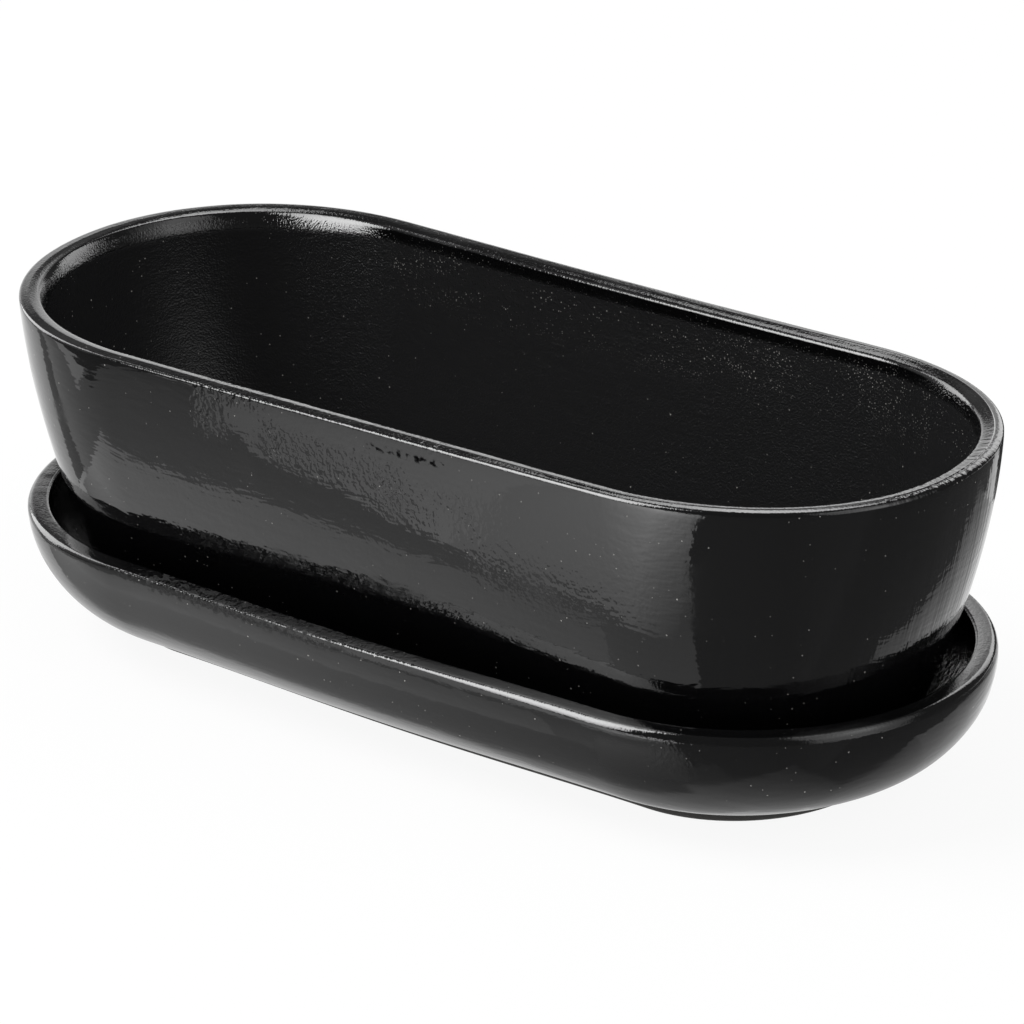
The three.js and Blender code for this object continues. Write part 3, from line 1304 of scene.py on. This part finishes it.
@dataclass(frozen=True)
class Glaze:
    """A thick, glossy black glaze: dimpled and drawn in places, satin inside, with dust and pits, and a
    crowd of painted glints below the back rim.

    Depths are in millimetres.
    """

    name: str
    colour: tuple[float, float, float] = (0.0022, 0.0022, 0.0024)
    # Pale specks: dust, and the painted glints below the back rim.
    speck_colour: tuple[float, float, float] = (0.42, 0.41, 0.39)
    roughness: float = 0.045
    ior: float = 1.6
    inner_colour: tuple[float, float, float] = (0.0125, 0.0125, 0.013)
    inner_roughness: float = 0.22
    inner_from: float = 0.75
    inner_ior: float = 1.38
    smudges: Clouds = Clouds(22.0 * MM, 0.35)
    smudge_roughness: float = 0.13
    dulled: tuple[Window, ...] = ()
    thickness: Clouds = Clouds(45.0 * MM, 0.5)
    thin_share: float = 0.3
    dimple_size: float = 1.9 * MM
    dimple_squash: float = 0.8
    dimple_depth: float = 0.045
    hammered: tuple[Window, ...] = ()
    hammered_depth: float = 0.38
    hammered_thin: tuple[float, float] = (0.4, 0.5)
    bands: Clouds = Clouds(60.0 * MM, 0.6)
    band_share: float = 0.35
    runs: Drawn = Drawn(9.0 * MM, 2.2 * MM, 0.075)
    brushed: Window | None = None
    strokes: Drawn = Drawn(1.6 * MM, 45.0 * MM, 0.03, 0.1)
    columns: Drawn = Drawn(11.0 * MM, 70.0 * MM, 0.3, 0.1)
    streaked: Window | None = None
    streaks: Drawn = Drawn(2.6 * MM, 9.0 * MM, 0.32, 0.2)
    pits: Scatter = Scatter(13.0 * MM, 0.45 * MM, 0.25)
    pit_depth: float = 0.12
    crawled: Window | None = None
    crawl: Clouds = Clouds(2.6 * MM, 0.42)
    crawl_roughness: float = 1.6
    grain_size: float = 0.75 * MM
    grain_depth: float = 0.16
    grain_full: float = 0.6
    rim_grain_depth: float = 0.05
    wiped: Drawn = Drawn(16.0 * MM, 1.5 * MM, 0.03)
    dust: Scatter = Scatter(2.8 * MM, 0.24 * MM, 0.45)
    # Painted glints: a crowd of pale specks on the inner face below the back rim, in place of the glaze's
    # own glints.
    sparkle: Window | None = None
    crowd: Scatter = Scatter(0.9 * MM, 0.19 * MM, 0.75)
    crowd_clouds: Clouds = Clouds(12.0 * MM, 0.6)
    crowd_least: float = 0.1

    def relief(self, nodes: Nodes, place: Socket, rim: Socket, inside: Socket) -> Socket:
        """The height of the glaze over a smooth surface, in millimetres.

        Args:
            nodes: The material's nodes.
            place: Where each point lies.
            rim: 1 on the rim.
            inside: 1 on the inner face.

        Returns:
            The height's socket.
        """
        station = nodes.add("Attribute", attribute_name="station").outputs["Vector"]
        x, y, z = nodes.add("SeparateXYZ", in_Vector=place).outputs
        squat = nodes.add("CombineXYZ", in_X=x, in_Y=y, in_Z=nodes.times(z, self.dimple_squash)).outputs[0]
        thick = self.thickness.mask(nodes, place)
        depth = nodes.ramp(thick, 0.0, 1.0, (self.dimple_depth * self.thin_share, self.dimple_depth))
        worn_to, least = self.hammered_thin
        worn = nodes.times(nodes.ramp(thick, 0.0, worn_to, (least, 1.0)), self.hammered_depth)
        for window in self.hammered:
            depth = nodes.math("ADD", depth, nodes.times(window.mask(nodes, place), worn))
        grain = nodes.math(
            "MAXIMUM",
            nodes.times(nodes.ramp(inside, 0.0, self.grain_full), self.grain_depth),
            nodes.times(rim, self.rim_grain_depth),
        )
        pull = nodes.ramp(self.bands.mask(nodes, station), 0.0, 1.0, (self.band_share, 1.0))
        heights = [
            Dimples().place(nodes, place=squat, size=self.dimple_size, depth=depth)["Height"],
            self.runs.height(nodes, station, pull),
            Dimples().place(nodes, place=place, size=self.grain_size, depth=grain)["Height"],
            self.wiped.height(nodes, station, inside),
            nodes.times(self.pits.mask(nodes, place), -self.pit_depth),
        ]
        if self.brushed is not None:
            brushed = self.brushed.mask(nodes, place)
            heights += [drawn.height(nodes, station, brushed) for drawn in (self.strokes, self.columns)]
        if self.streaked is not None:
            streaked = nodes.times(self.streaked.mask(nodes, place), rim)
            heights.append(self.streaks.height(nodes, station, streaked))
        total = heights[0]
        for height in heights[1:]:
            total = nodes.math("ADD", total, height)
        return total

    def specks(self, nodes: Nodes, place: Socket, inside: Socket) -> Socket:
        """Where pale specks show on the glaze: dust everywhere a little, and a crowd of painted glints below
        the back rim.

        Args:
            nodes: The material's nodes.
            place: Where each point lies.
            inside: 1 on the inner face.

        Returns:
            The mask's socket.
        """
        dust = self.dust.mask(nodes, place)
        if self.sparkle is None:
            return dust
        # A crowd of painted glints, where the inner face lies below the back rim.
        clouds = nodes.ramp(self.crowd_clouds.mask(nodes, place), 0.0, 1.0, (self.crowd_least, 1.0))
        crowd = nodes.times(self.crowd.mask(nodes, place), clouds, self.sparkle.mask(nodes, place), inside)
        return nodes.math("MAXIMUM", dust, crowd)

    def material(self, inner: bool = False) -> bpy.types.Material:
        """Builds the material.

        Args:
            inner: Whether it is for the inner face, where the glaze is thinner.

        Returns:
            The material.
        """
        made, nodes = new_material(self.name + ("_inside" if inner else ""))
        place = nodes.add("TexCoord").outputs["Object"]
        inside = nodes.add("Attribute", attribute_name="inside").outputs["Fac"]
        rim = nodes.add("Attribute", attribute_name="rim").outputs["Fac"]
        smudged = self.smudges.mask(nodes, place)
        outer = nodes.ramp(smudged, 0.0, 1.0, (self.roughness, self.smudge_roughness))
        for window in self.dulled:
            outer = nodes.math("MAXIMUM", outer, window.mask(nodes, place))
        shader = nodes.add("BsdfPrincipled", in_IOR=self.inner_ior if inner else self.ior)
        if self.crawled is not None:
            window = self.crawled.mask(nodes, place)
            crawl = nodes.math("MULTIPLY", self.crawl.mask(nodes, place), window, clamp=True)
            outer = nodes.math("MAXIMUM", outer, nodes.times(crawl, self.crawl_roughness))
            nodes.feed(shader, "Metallic", crawl)
        outer = nodes.math("MINIMUM", outer, 1.0)
        deep = nodes.ramp(inside, self.inner_from, 1.0)
        rough = nodes.add("MapRange", in_Value=deep, in_To_Min=outer, in_To_Max=self.inner_roughness)
        nodes.feed(shader, "Roughness", rough.outputs["Result"])
        # Pale specks in the colour: dust, and painted glints below the back rim.
        colours = (self.inner_colour if inner else self.colour, self.speck_colour)
        nodes.feed(shader, "Base Color", nodes.blend(self.specks(nodes, place, inside), *colours))
        bump = nodes.add("Bump", in_Distance=MM, in_Height=self.relief(nodes, place, rim, inside))
        nodes.feed(shader, "Normal", bump.outputs["Normal"])
        nodes.surface(shader.outputs[0])
        return made


@dataclass(frozen=True)
class BareClay:
    """Fired dark stoneware, wiped clean of glaze where it stands."""

    name: str = "bare_clay"
    colour: tuple[float, float, float] = (0.055, 0.053, 0.05)
    grain_colour: tuple[float, float, float] = (0.14, 0.13, 0.12)
    roughness: float = 0.75
    grains: Scatter = Scatter(1.6 * MM, 0.35 * MM, 0.4)
    grain_size: float = 0.5 * MM
    grain_depth: float = 0.08

    def material(self) -> bpy.types.Material:
        """Builds the material.

        Returns:
            The material.
        """
        made, nodes = new_material(self.name)
        place = nodes.add("TexCoord").outputs["Object"]
        colour = nodes.blend(self.grains.mask(nodes, place), self.colour, self.grain_colour)
        rough = Dimples().place(nodes, place=place, size=self.grain_size, depth=self.grain_depth)["Height"]
        bump = nodes.add("Bump", in_Distance=MM, in_Height=rough)
        shader = nodes.add("BsdfPrincipled", in_Base_Color=colour, in_Roughness=self.roughness)
        nodes.feed(shader, "Normal", bump.outputs["Normal"])
        nodes.surface(shader.outputs[0])
        return made


POT_GLAZE = Glaze(
    "pot_glaze",
    hammered=(
        Window((-0.068, -0.12, 0.110), (-0.055, 0.0, 0.124), 4.0 * MM, 0.8),
        Window((-0.036, -0.12, 0.106), (0.026, 0.0, 0.1215), 5.0 * MM, 1.9),
        Window((0.018, -0.12, 0.101), (0.056, 0.0, 0.118), 9.0 * MM, 0.7),
        Window((-0.068, -0.12, 0.124), (0.042, 0.0, 0.134), 2.0 * MM, 0.5),
        Window((0.006, -0.12, 0.098), (0.040, 0.0, 0.110), 5.0 * MM, 0.6),
        Window((0.050, -0.12, 0.080), (0.125, 0.0, 0.112), 9.0 * MM, 0.3),
    ),
    brushed=Window((0.165, -0.07, 0.03), (0.22, 0.10, 0.12), 12.0 * MM),
    strokes=Drawn(1.6 * MM, 45.0 * MM, 0.09, 0.1),
    streaked=Window((0.186, -0.03, 0.11), (0.22, 0.07, 0.14), 7.0 * MM),
    crawled=Window((0.010, -0.12, 0.1222), (0.046, 0.0, 0.1248), 0.8 * MM),
    # Where pale specks are painted as glints below the back rim.
    sparkle=Window((-0.12, 0.0, 0.106), (0.21, 0.12, 0.128), 9.0 * MM),
)

SAUCER_GLAZE = Glaze(
    "saucer_glaze",
    dimple_depth=0.014,
    hammered=(
        Window((-0.105, -0.12, 0.0455), (0.035, -0.06, 0.06), 1.2 * MM, 0.45),
        Window((0.15, -0.02, 0.02), (0.19, 0.08, 0.045), 6.0 * MM, 0.8),
        Window((0.132, -0.12, 0.032), (0.152, -0.06, 0.046), 4.0 * MM, 0.6),
    ),
    dulled=(
        Window((-0.25, -0.12, -0.01), (0.25, 0.12, 0.036), 4.0 * MM, 0.2),
        Window((0.112, -0.12, 0.029), (0.146, -0.06, 0.0425), 3.0 * MM, 0.45),
    ),
    brushed=Window((-0.21, -0.06, 0.0), (-0.16, 0.05, 0.06), 12.0 * MM),
    crawled=Window((-0.090, -0.12, 0.0440), (0.004, -0.06, 0.0520), 1.5 * MM, 0.5),
)


@dataclass(frozen=True)
class Viewpoint:
    """The camera, at the angle from which the planter is seen."""

    azimuth: float = 38.512
    elevation: float = 23.053
    roll: float = -0.563
    distance: float = 2.0974
    aim_height: float = 0.060
    slide_right: float = 4.707 * MM
    slide_up: float = 5.671 * MM
    focal_pixels: float = 5760.4
    sensor_width: float = 36.0
    clipping: tuple[float, float] = (0.05, 100.0)

    def build(self) -> bpy.types.Object:
        """Makes the camera and sets it as the scene's.

        Returns:
            The camera.
        """
        a, e, r = (math.radians(v) for v in (self.azimuth, self.elevation, self.roll))
        back = Vector((math.sin(a) * math.cos(e), -math.cos(a) * math.cos(e), math.sin(e)))
        level_right = (-back).cross(Vector((0.0, 0.0, 1.0))).normalized()
        level_up = level_right.cross(-back)
        right = level_right * math.cos(r) + level_up * math.sin(r)
        up = level_up * math.cos(r) - level_right * math.sin(r)
        place = Vector((0.0, 0.0, self.aim_height)) + back * self.distance
        place += right * self.slide_right + up * self.slide_up
        data = bpy.data.cameras.new("viewpoint")
        data.sensor_width = self.sensor_width
        data.lens = self.focal_pixels / IMAGE_SIZE * data.sensor_width
        data.clip_start, data.clip_end = self.clipping
        camera = bpy.data.objects.new("viewpoint", data)
        turned = Matrix((right, up, back)).transposed().to_4x4()
        camera.matrix_world = Matrix.Translation(place) @ turned
        bpy.context.scene.collection.objects.link(camera)
        bpy.context.scene.camera = camera
        return camera


def towards(azimuth: float, elevation: float, distance: float, height: float = 0.0) -> Vector:
    """The point that lies in a direction from above the middle of the floor.

    Args:
        azimuth: Degrees from the front, -Y, towards the right, +X.
        elevation: Degrees above the horizon.
        distance: How far off it lies.
        height: How high above the floor the direction starts.

    Returns:
        The point.
    """
    a, e = math.radians(azimuth), math.radians(elevation)
    flat = math.cos(e) * distance
    return Vector((math.sin(a) * flat, -math.cos(a) * flat, math.sin(e) * distance + height))


def seen_in_glaze(
    name: str, points: np.ndarray, quads: np.ndarray, glow: np.ndarray, sampled: bool
) -> bpy.types.Object:
    """Makes a sheet of the set that shows only in the glaze, and lights and shades nothing.

    Args:
        name: Its name.
        points: Rows of x, y, z.
        quads: The points of each face.
        glow: How strongly it glows at each point.
        sampled: Whether the renderer aims rays at it.

    Returns:
        The new stage object.
    """
    mesh = bpy.data.meshes.new(name)
    mesh.from_pydata(points.tolist(), [], quads.reshape(-1, 4).tolist())
    mesh.attributes.new("glow", "FLOAT", "POINT").data.foreach_set("value", glow.reshape(-1))
    mesh.materials.append(glow_material(sampled))
    sheet = bpy.data.objects.new(name, mesh)
    bpy.context.scene.collection.objects.link(sheet)
    for flag in ("camera", "diffuse", "transmission", "volume_scatter", "shadow"):
        setattr(sheet, "visible_" + flag, False)
    return sheet


@dataclass(frozen=True)
class Sheet:
    """A sheet that shows only in the glaze: a lit diffuser, a strip of table or a black flag."""

    name: str
    columns: int = 12
    sampled: bool = True

    def grid(self) -> tuple[np.ndarray, np.ndarray]:
        """The sheet's points, row by row, and the glow at each.

        Returns:
            Rows, by columns, by x, y, z; and rows by columns.
        """
        raise NotImplementedError

    def build(self) -> bpy.types.Object:
        """Makes the sheet.

        Returns:
            The new stage object, unseen by the camera, and without shadow.
        """
        points, glow = self.grid()
        rows, columns = glow.shape
        index = np.arange(rows * columns).reshape(rows, columns)
        quads = np.stack([index[:-1, :-1], index[:-1, 1:], index[1:, 1:], index[1:, :-1]], axis=-1)
        return seen_in_glaze(self.name, points.reshape(-1, 3), quads, glow, self.sampled)


@dataclass(frozen=True)
class Row:
    """A level line across a card: its elevation, its ends' azimuths, and the glow along it."""

    elevation: float
    ends: tuple[float, float]
    glow: tuple[float, ...]


@dataclass(frozen=True)
class Card(Sheet):
    """A sheet that stands or hangs round the set."""

    rows: tuple[Row, ...] = ()
    distance: float = 1.5
    start_height: float = 0.08
    steps: int = 3

    def grid(self) -> tuple[np.ndarray, np.ndarray]:
        """The card's points and glow, with each stretch between two rows cut into steps.

        Returns:
            Rows, by columns, by x, y, z; and rows by columns.
        """
        across = np.linspace(0.0, 1.0, self.columns + 1)
        angles, glows = [], []
        for row in self.rows:
            azimuth = row.ends[0] + (row.ends[1] - row.ends[0]) * across
            angles.append(np.column_stack([azimuth, np.full(len(across), float(row.elevation))]))
            glows.append(np.interp(across, np.linspace(0.0, 1.0, len(row.glow)), row.glow))
        shares = np.linspace(0.0, len(self.rows) - 1.0, (len(self.rows) - 1) * self.steps + 1)
        made, strengths = [], []
        for share in shares:
            low = min(int(share), len(self.rows) - 2)
            part = share - low
            line = angles[low] * (1.0 - part) + angles[low + 1] * part
            made.append([tuple(towards(a, e, self.distance, self.start_height)) for a, e in line])
            strengths.append(glows[low] * (1.0 - part) + glows[low + 1] * part)
        return np.array(made), np.array(strengths)


@dataclass(frozen=True)
class TableCard(Sheet):
    """A sheet that lies on the floor.

    The corners run near left, near right, far right, far left, as x and y, and the glow with them.
    """

    corners: tuple[tuple[float, float], ...] = ()
    glow: tuple[float, ...] = ()
    lift: float = 1.0 * MM
    sampled: bool = False

    def grid(self) -> tuple[np.ndarray, np.ndarray]:
        """The sheet's points and glow, blended between its corners.

        Returns:
            Rows, by columns, by x, y, z; and rows by columns.
        """
        across = np.linspace(0.0, 1.0, self.columns + 1)
        u, v = np.meshgrid(across, across)
        weights = np.stack([(1 - u) * (1 - v), u * (1 - v), u * v, (1 - u) * v], axis=-1)
        flat = weights @ np.array(self.corners)
        points = np.concatenate([flat, np.full((*u.shape, 1), self.lift)], axis=-1)
        return points, weights @ np.array(self.glow)


def glow_material(sampled: bool) -> bpy.types.Material:
    """The glow of the sheets, as strong as each says.

    Args:
        sampled: Whether the renderer aims rays at it, which only the bright ones need.

    Returns:
        The material, made once for each kind.
    """
    name = "card_glow" if sampled else "table_glow"
    made = bpy.data.materials.get(name)
    if made is None:
        made, nodes = new_material(name)
        made.cycles.emission_sampling = "AUTO" if sampled else "NONE"
        glow = nodes.add("Attribute", attribute_name="glow").outputs["Fac"]
        nodes.surface(nodes.add("Emission", in_Strength=glow).outputs[0])
    return made


def mirror_seen(nodes: Nodes) -> Socket:
    """1 for what the camera, a mirror or glass sees, and 0 for the light that falls on things.

    Args:
        nodes: The nodes of a material or of the world.

    Returns:
        The socket.
    """
    light = nodes.add("LightPath")
    seen = nodes.math("MAXIMUM", light.outputs["Is Camera Ray"], light.outputs["Is Glossy Ray"])
    return nodes.math("MAXIMUM", seen, light.outputs["Is Transmission Ray"])


CARDS = (
    Card(
        "key",
        distance=1.0,
        rows=(
            Row(-2, (-36, -13), (1.2, 4.5, 2.0)),
            Row(8, (-38, -7), (2.5, 7.5, 3.5)),
            Row(14, (-40, -4), (5.5, 10.0, 5.0)),
            Row(20, (-41, -5), (9.0, 11.0, 7.0)),
            Row(30, (-42, -7), (10.0, 12.5, 9.0)),
            Row(45, (-44, -7), (12.0, 12.5, 10.0)),
            Row(52, (-52, -6), (9.0, 12.0, 9.0)),
            Row(60, (-62, -4), (6.0, 10.0, 8.0)),
            Row(68, (-75, -5), (4.0, 8.0, 6.0)),
            Row(73, (-72, -10), (3.0, 6.0, 5.0)),
        ),
    ),
    Card(
        "left_strip",
        rows=(
            Row(-2, (-103, -74), (3.8, 3.6)),
            Row(20, (-103, -74), (5.0, 5.4)),
            Row(34, (-105, -75), (4.6, 5.2)),
            Row(42, (-110, -78), (3.6, 4.6)),
            Row(49, (-110, -80), (2.4, 3.6)),
        ),
    ),
    Card(
        "dim_front_left",
        rows=(
            Row(-2, (-74, -46), (0.3, 0.3)),
            Row(34, (-75, -48), (0.5, 0.6)),
            Row(50, (-80, -54), (0.35, 0.5)),
            Row(64, (-98, -78), (0.4, 0.8)),
        ),
        sampled=False,
    ),
    Card(
        "right_wall",
        rows=(
            Row(-2, (65, 108), (0.7, 1.1, 0.5)),
            Row(12, (65, 107), (0.8, 1.2, 1.2, 0.8, 0.6)),
            Row(24, (64, 116), (0.9, 1.4, 1.8, 0.8, 0.5)),
            Row(38, (61, 126), (0.7, 1.2, 2.3, 0.7, 0.4)),
            Row(52, (66, 140), (0.8, 1.1, 1.4, 0.6, 0.4)),
            Row(63, (70, 145), (1.2, 1.4, 0.5)),
            Row(70, (85, 140), (1.2, 0.6)),
        ),
    ),
    Card(
        "back_strip",
        distance=0.7,
        rows=(
            Row(6, (157, 187), (1.6, 2.4, 1.6)),
            Row(14, (157, 187), (2.0, 3.0, 2.6)),
            Row(30, (158, 188), (1.6, 3.3, 3.0)),
            Row(42, (162, 194), (1.6, 3.6, 3.6)),
        ),
    ),
    Card(
        "ceiling_light",
        rows=(
            Row(46, (-165, -126), (1.0, 2.6, 2.2)),
            Row(54, (-178, -127), (1.6, 6.0, 3.4)),
            Row(64, (-180, -115), (5.4, 7.0, 3.6)),
            Row(76, (-170, -115), (2.4, 6.5, 3.2)),
        ),
    ),
    Card(
        "backdrop",
        columns=24,
        distance=2.5,
        rows=(
            Row(-2, (-166, -108), (1.6, 1.5, 1.8)),
            Row(10, (-165, -108), (0.9, 1.4, 1.3)),
            Row(19, (-165, -108), (0.8, 0.9, 1.0, 1.3, 1.6, 1.2, 1.2, 1.1, 1.0, 0.9, 0.9, 0.8, 0.8)),
            Row(21.5, (-165, -108), (0.8, 0.9, 1.0, 1.6, 2.1, 0.4, 0.4, 0.4, 0.4, 0.4, 0.4, 0.4, 0.4)),
            Row(24, (-165, -108), (0.8, 0.9, 1.0, 1.7, 2.2, 0.12, *[0.12] * 7)),
            Row(28, (-165, -108), (0.4, 0.5, 0.6, 1.0, 1.4, 0.2, *[0.2] * 7)),
            Row(34, (-165, -112), (0.35, 0.35, 0.35)),
            Row(36, (-165, -112), (0.3, 0.3, 0.3)),
        ),
    ),
)

TABLE = (
    TableCard(
        "board_left",
        corners=((-2.50, -0.066), (-0.235, -0.066), (-0.235, 0.25), (-2.50, 1.00)),
        glow=(0.5, 0.9, 1.4, 0.8),
    ),
    TableCard(
        "board_line",
        corners=((-2.50, -0.096), (-0.24, -0.096), (-0.24, -0.066), (-2.50, -0.050)),
        glow=(0.12, 0.28, 0.3, 0.15),
        lift=1.3 * MM,
    ),
    TableCard(
        "table_left",
        corners=((-2.50, -0.20), (-0.235, -0.165), (-0.235, -0.096), (-2.50, -0.096)),
        glow=(0.3, 0.5, 0.65, 0.5),
    ),
    TableCard(
        "dark_left",
        corners=((-3.00, -3.00), (-0.25, -3.00), (-0.28, -0.20), (-3.00, -0.166)),
        glow=(0.05, 0.05, 0.14, 0.1),
        lift=1.2 * MM,
    ),
    TableCard(
        "board_shade",
        corners=((-0.235, -0.115), (0.17, -0.115), (0.17, -0.08), (-0.235, -0.08)),
        glow=(1.15, 0.25, 0.25, 0.5),
    ),
    TableCard(
        "board_front",
        corners=((-0.235, -0.161), (0.04, -0.157), (0.07, -0.115), (-0.235, -0.115)),
        glow=(1.1, 0.65, 0.7, 1.2),
    ),
    TableCard(
        "dark_band",
        corners=((-0.30, -0.31), (0.14, -0.26), (0.165, -0.05), (-0.30, -0.15)),
        glow=(0.3, 0.45, 0.6, 0.55),
        lift=0.8 * MM,
    ),
    TableCard(
        "front_glow_left",
        corners=((-0.36, -0.60), (-0.13, -0.60), (-0.045, -0.173), (-0.19, -0.222)),
        glow=(0.7, 1.6, 1.2, 0.9),
        lift=2.0 * MM,
    ),
    TableCard(
        "front_glow",
        corners=((-0.13, -0.60), (0.10, -0.60), (0.07, -0.17), (-0.045, -0.173)),
        glow=(1.6, 4.5, 1.0, 1.0),
        lift=2.0 * MM,
    ),
    TableCard(
        "front_glow_right",
        corners=((0.10, -0.60), (0.255, -0.60), (0.13, -0.17), (0.07, -0.17)),
        glow=(4.5, 2.6, 0.5, 1.0),
        lift=2.0 * MM,
    ),
    # Darker table to the right, and nearer the saucer the planter's painted shadow on the board, as the
    # glaze shows them.
    TableCard(
        "dim_table_and_painted_shadow_right",
        corners=((0.13, -3.00), (3.00, -3.00), (0.200, -0.062), (0.15, -0.06)),
        glow=(0.12, 0.1, 0.17, 0.2),
    ),
    TableCard(
        "table_right_light",
        corners=((0.199, -0.061), (2.99, -3.01), (3.00, -0.062), (0.21, -0.058)),
        glow=(0.17, 0.13, 0.12, 0.2),
        lift=0.8 * MM,
    ),
    # Darker table, and behind the planter to the right its painted shadow, as the glaze shows them.
    TableCard(
        "dim_table_and_painted_shadow_far_right",
        corners=((0.180, -0.062), (3.00, -0.062), (3.00, 3.00), (0.200, 0.40)),
        glow=(0.17, 0.08, 0.08, 0.12),
        lift=0.6 * MM,
    ),
    TableCard(
        "light_right_near",
        corners=((0.165, -0.035), (0.190, -0.035), (0.243, 0.012), (0.15, 0.012)),
        glow=(0.7, 0.3, 0.4, 0.8),
    ),
    TableCard(
        "light_right",
        corners=((0.15, 0.012), (0.243, 0.012), (0.250, 0.08), (0.15, 0.08)),
        glow=(0.8, 0.5, 0.45, 1.4),
    ),
    TableCard(
        "light_right_far",
        corners=((0.15, 0.08), (0.250, 0.08), (0.245, 0.25), (0.13, 0.25)),
        glow=(1.4, 0.4, 0.3, 0.7),
    ),
    TableCard(
        "light_right_front",
        corners=((0.140, -0.088), (0.208, -0.078), (0.190, -0.035), (0.160, -0.035)),
        glow=(0.55, 0.22, 0.25, 0.75),
        lift=1.2 * MM,
    ),
    TableCard(
        "table_back",
        corners=((-0.30, 0.25), (0.12, 0.25), (0.60, 3.00), (-1.50, 3.00)),
        glow=(0.05, 0.05, 0.05, 0.05),
        lift=1.2 * MM,
    ),
)


@dataclass(frozen=True)
class Tent:
    """Black cloth round the set, which shows only in the glaze, open towards the white backdrop."""

    distance: float = 3.0
    glow: float = 0.12
    gap: tuple[float, float] = (-165.0, -108.0)
    gap_top: float = 24.0
    foot: float = -3.0
    step: float = 3.0

    def build(self) -> bpy.types.Object:
        """Makes the tent, in patches.

        Returns:
            The new stage object.
        """
        points = []
        for azimuth in np.arange(-180.0, 180.0, self.step):
            for elevation in np.arange(self.foot, 90.0, self.step):
                if self.gap[0] <= azimuth < self.gap[1] and elevation < self.gap_top:
                    continue
                for right, up in ((0, 0), (1, 0), (1, 1), (0, 1)):
                    turned, raised = azimuth + right * self.step, elevation + up * self.step
                    points.append(tuple(towards(turned, raised, self.distance)))
        glow = np.full(len(points), self.glow)
        return seen_in_glaze("tent", np.array(points), np.arange(len(points)), glow, sampled=False)


@dataclass(frozen=True)
class Lamp:
    """A broad, soft lamp, far away, which lights without showing in the glaze."""

    name: str
    azimuth: float
    elevation: float
    strength: float
    angle: float
    distance: float = 3.0

    def build(self) -> bpy.types.Object:
        """Makes the lamp.

        Returns:
            The lamp.
        """
        data = bpy.data.lights.new(self.name, "SUN")
        data.energy = self.strength
        data.angle = math.radians(self.angle)
        lamp = bpy.data.objects.new(self.name, data)
        back = towards(self.azimuth, self.elevation, self.distance)
        lamp.location = back
        lamp.rotation_mode = "QUATERNION"
        lamp.rotation_quaternion = back.to_track_quat("Z", "Y")
        lamp.visible_glossy = False
        bpy.context.scene.collection.objects.link(lamp)
        return lamp


@dataclass(frozen=True)
class Studio:
    """A plain pale floor and soft light."""

    floor_half: float = 6.0
    floor_colour: tuple[float, float, float] = (0.86, 0.86, 0.86)
    floor_roughness: float = 0.9
    floor_white: float = 0.92
    fill: float = 0.5
    lamps: tuple[Lamp, ...] = (
        Lamp("key", -55.0, 52.0, 2.2, 35.0),
        Lamp("fill", 95.0, 45.0, 0.6, 60.0),
    )

    def build(self) -> None:
        """Makes the floor, the surroundings, the lamps and the cards."""
        self.build_floor()
        self.build_surroundings()
        for part in (*self.lamps, *CARDS, *TABLE, Tent()):
            part.build()

    def build_floor(self) -> None:
        """Makes the floor, white to the camera, with the planter's shadow on it."""
        half = self.floor_half
        corners = [(-half, -half, 0), (half, -half, 0), (half, half, 0), (-half, half, 0)]
        mesh = bpy.data.meshes.new("floor")
        mesh.from_pydata(corners, [], [(0, 1, 2, 3)])
        floor = bpy.data.objects.new("floor", mesh)
        bpy.context.scene.collection.objects.link(floor)
        made, nodes = new_material("floor")
        colour = (*self.floor_colour, 1.0)
        shader = nodes.add("BsdfPrincipled", in_Base_Color=colour, in_Roughness=self.floor_roughness)
        white = nodes.add("Emission")
        mix = nodes.add("MixShader")
        seen = nodes.times(mirror_seen(nodes), self.floor_white)
        for i, value in enumerate((seen, shader.outputs[0], white.outputs[0])):
            nodes.feed(mix, i, value)
        nodes.surface(mix.outputs[0])
        mesh.materials.append(made)

    def build_surroundings(self) -> None:
        """Makes the white surroundings, which also fill the shadows."""
        world = bpy.data.worlds.new("surroundings")
        bpy.context.scene.world = world
        world.use_nodes = True
        nodes = Nodes(world.node_tree)
        background = world.node_tree.nodes["Background"]
        nodes.feed(background, "Strength", nodes.ramp(mirror_seen(nodes), 0.0, 1.0, (self.fill, 1.0)))
        background.inputs["Color"].default_value = (1.0, 1.0, 1.0, 1.0)


def main() -> None:
    """Builds and dresses the planter, then the studio and the camera."""
    logging.basicConfig(level=logging.INFO, format="%(name)s: %(message)s")
    bpy.context.scene.view_settings.view_transform = "Standard"
    Viewpoint().build()
    pot = Pot()
    saucer = Saucer(pot=pot)
    clay = BareClay().material()
    for shell, glaze in ((pot, POT_GLAZE), (saucer, SAUCER_GLAZE)):
        fired = shell.build()
        fired.data.materials.append(glaze.material())
        fired.data.materials.append(clay)
        if shell is pot:
            fired.data.materials.append(glaze.material(inner=True))
        log.info("%s: %d faces", fired.name, len(fired.data.polygons))
    Studio().build()


if __name__ == "__main__":
    main()
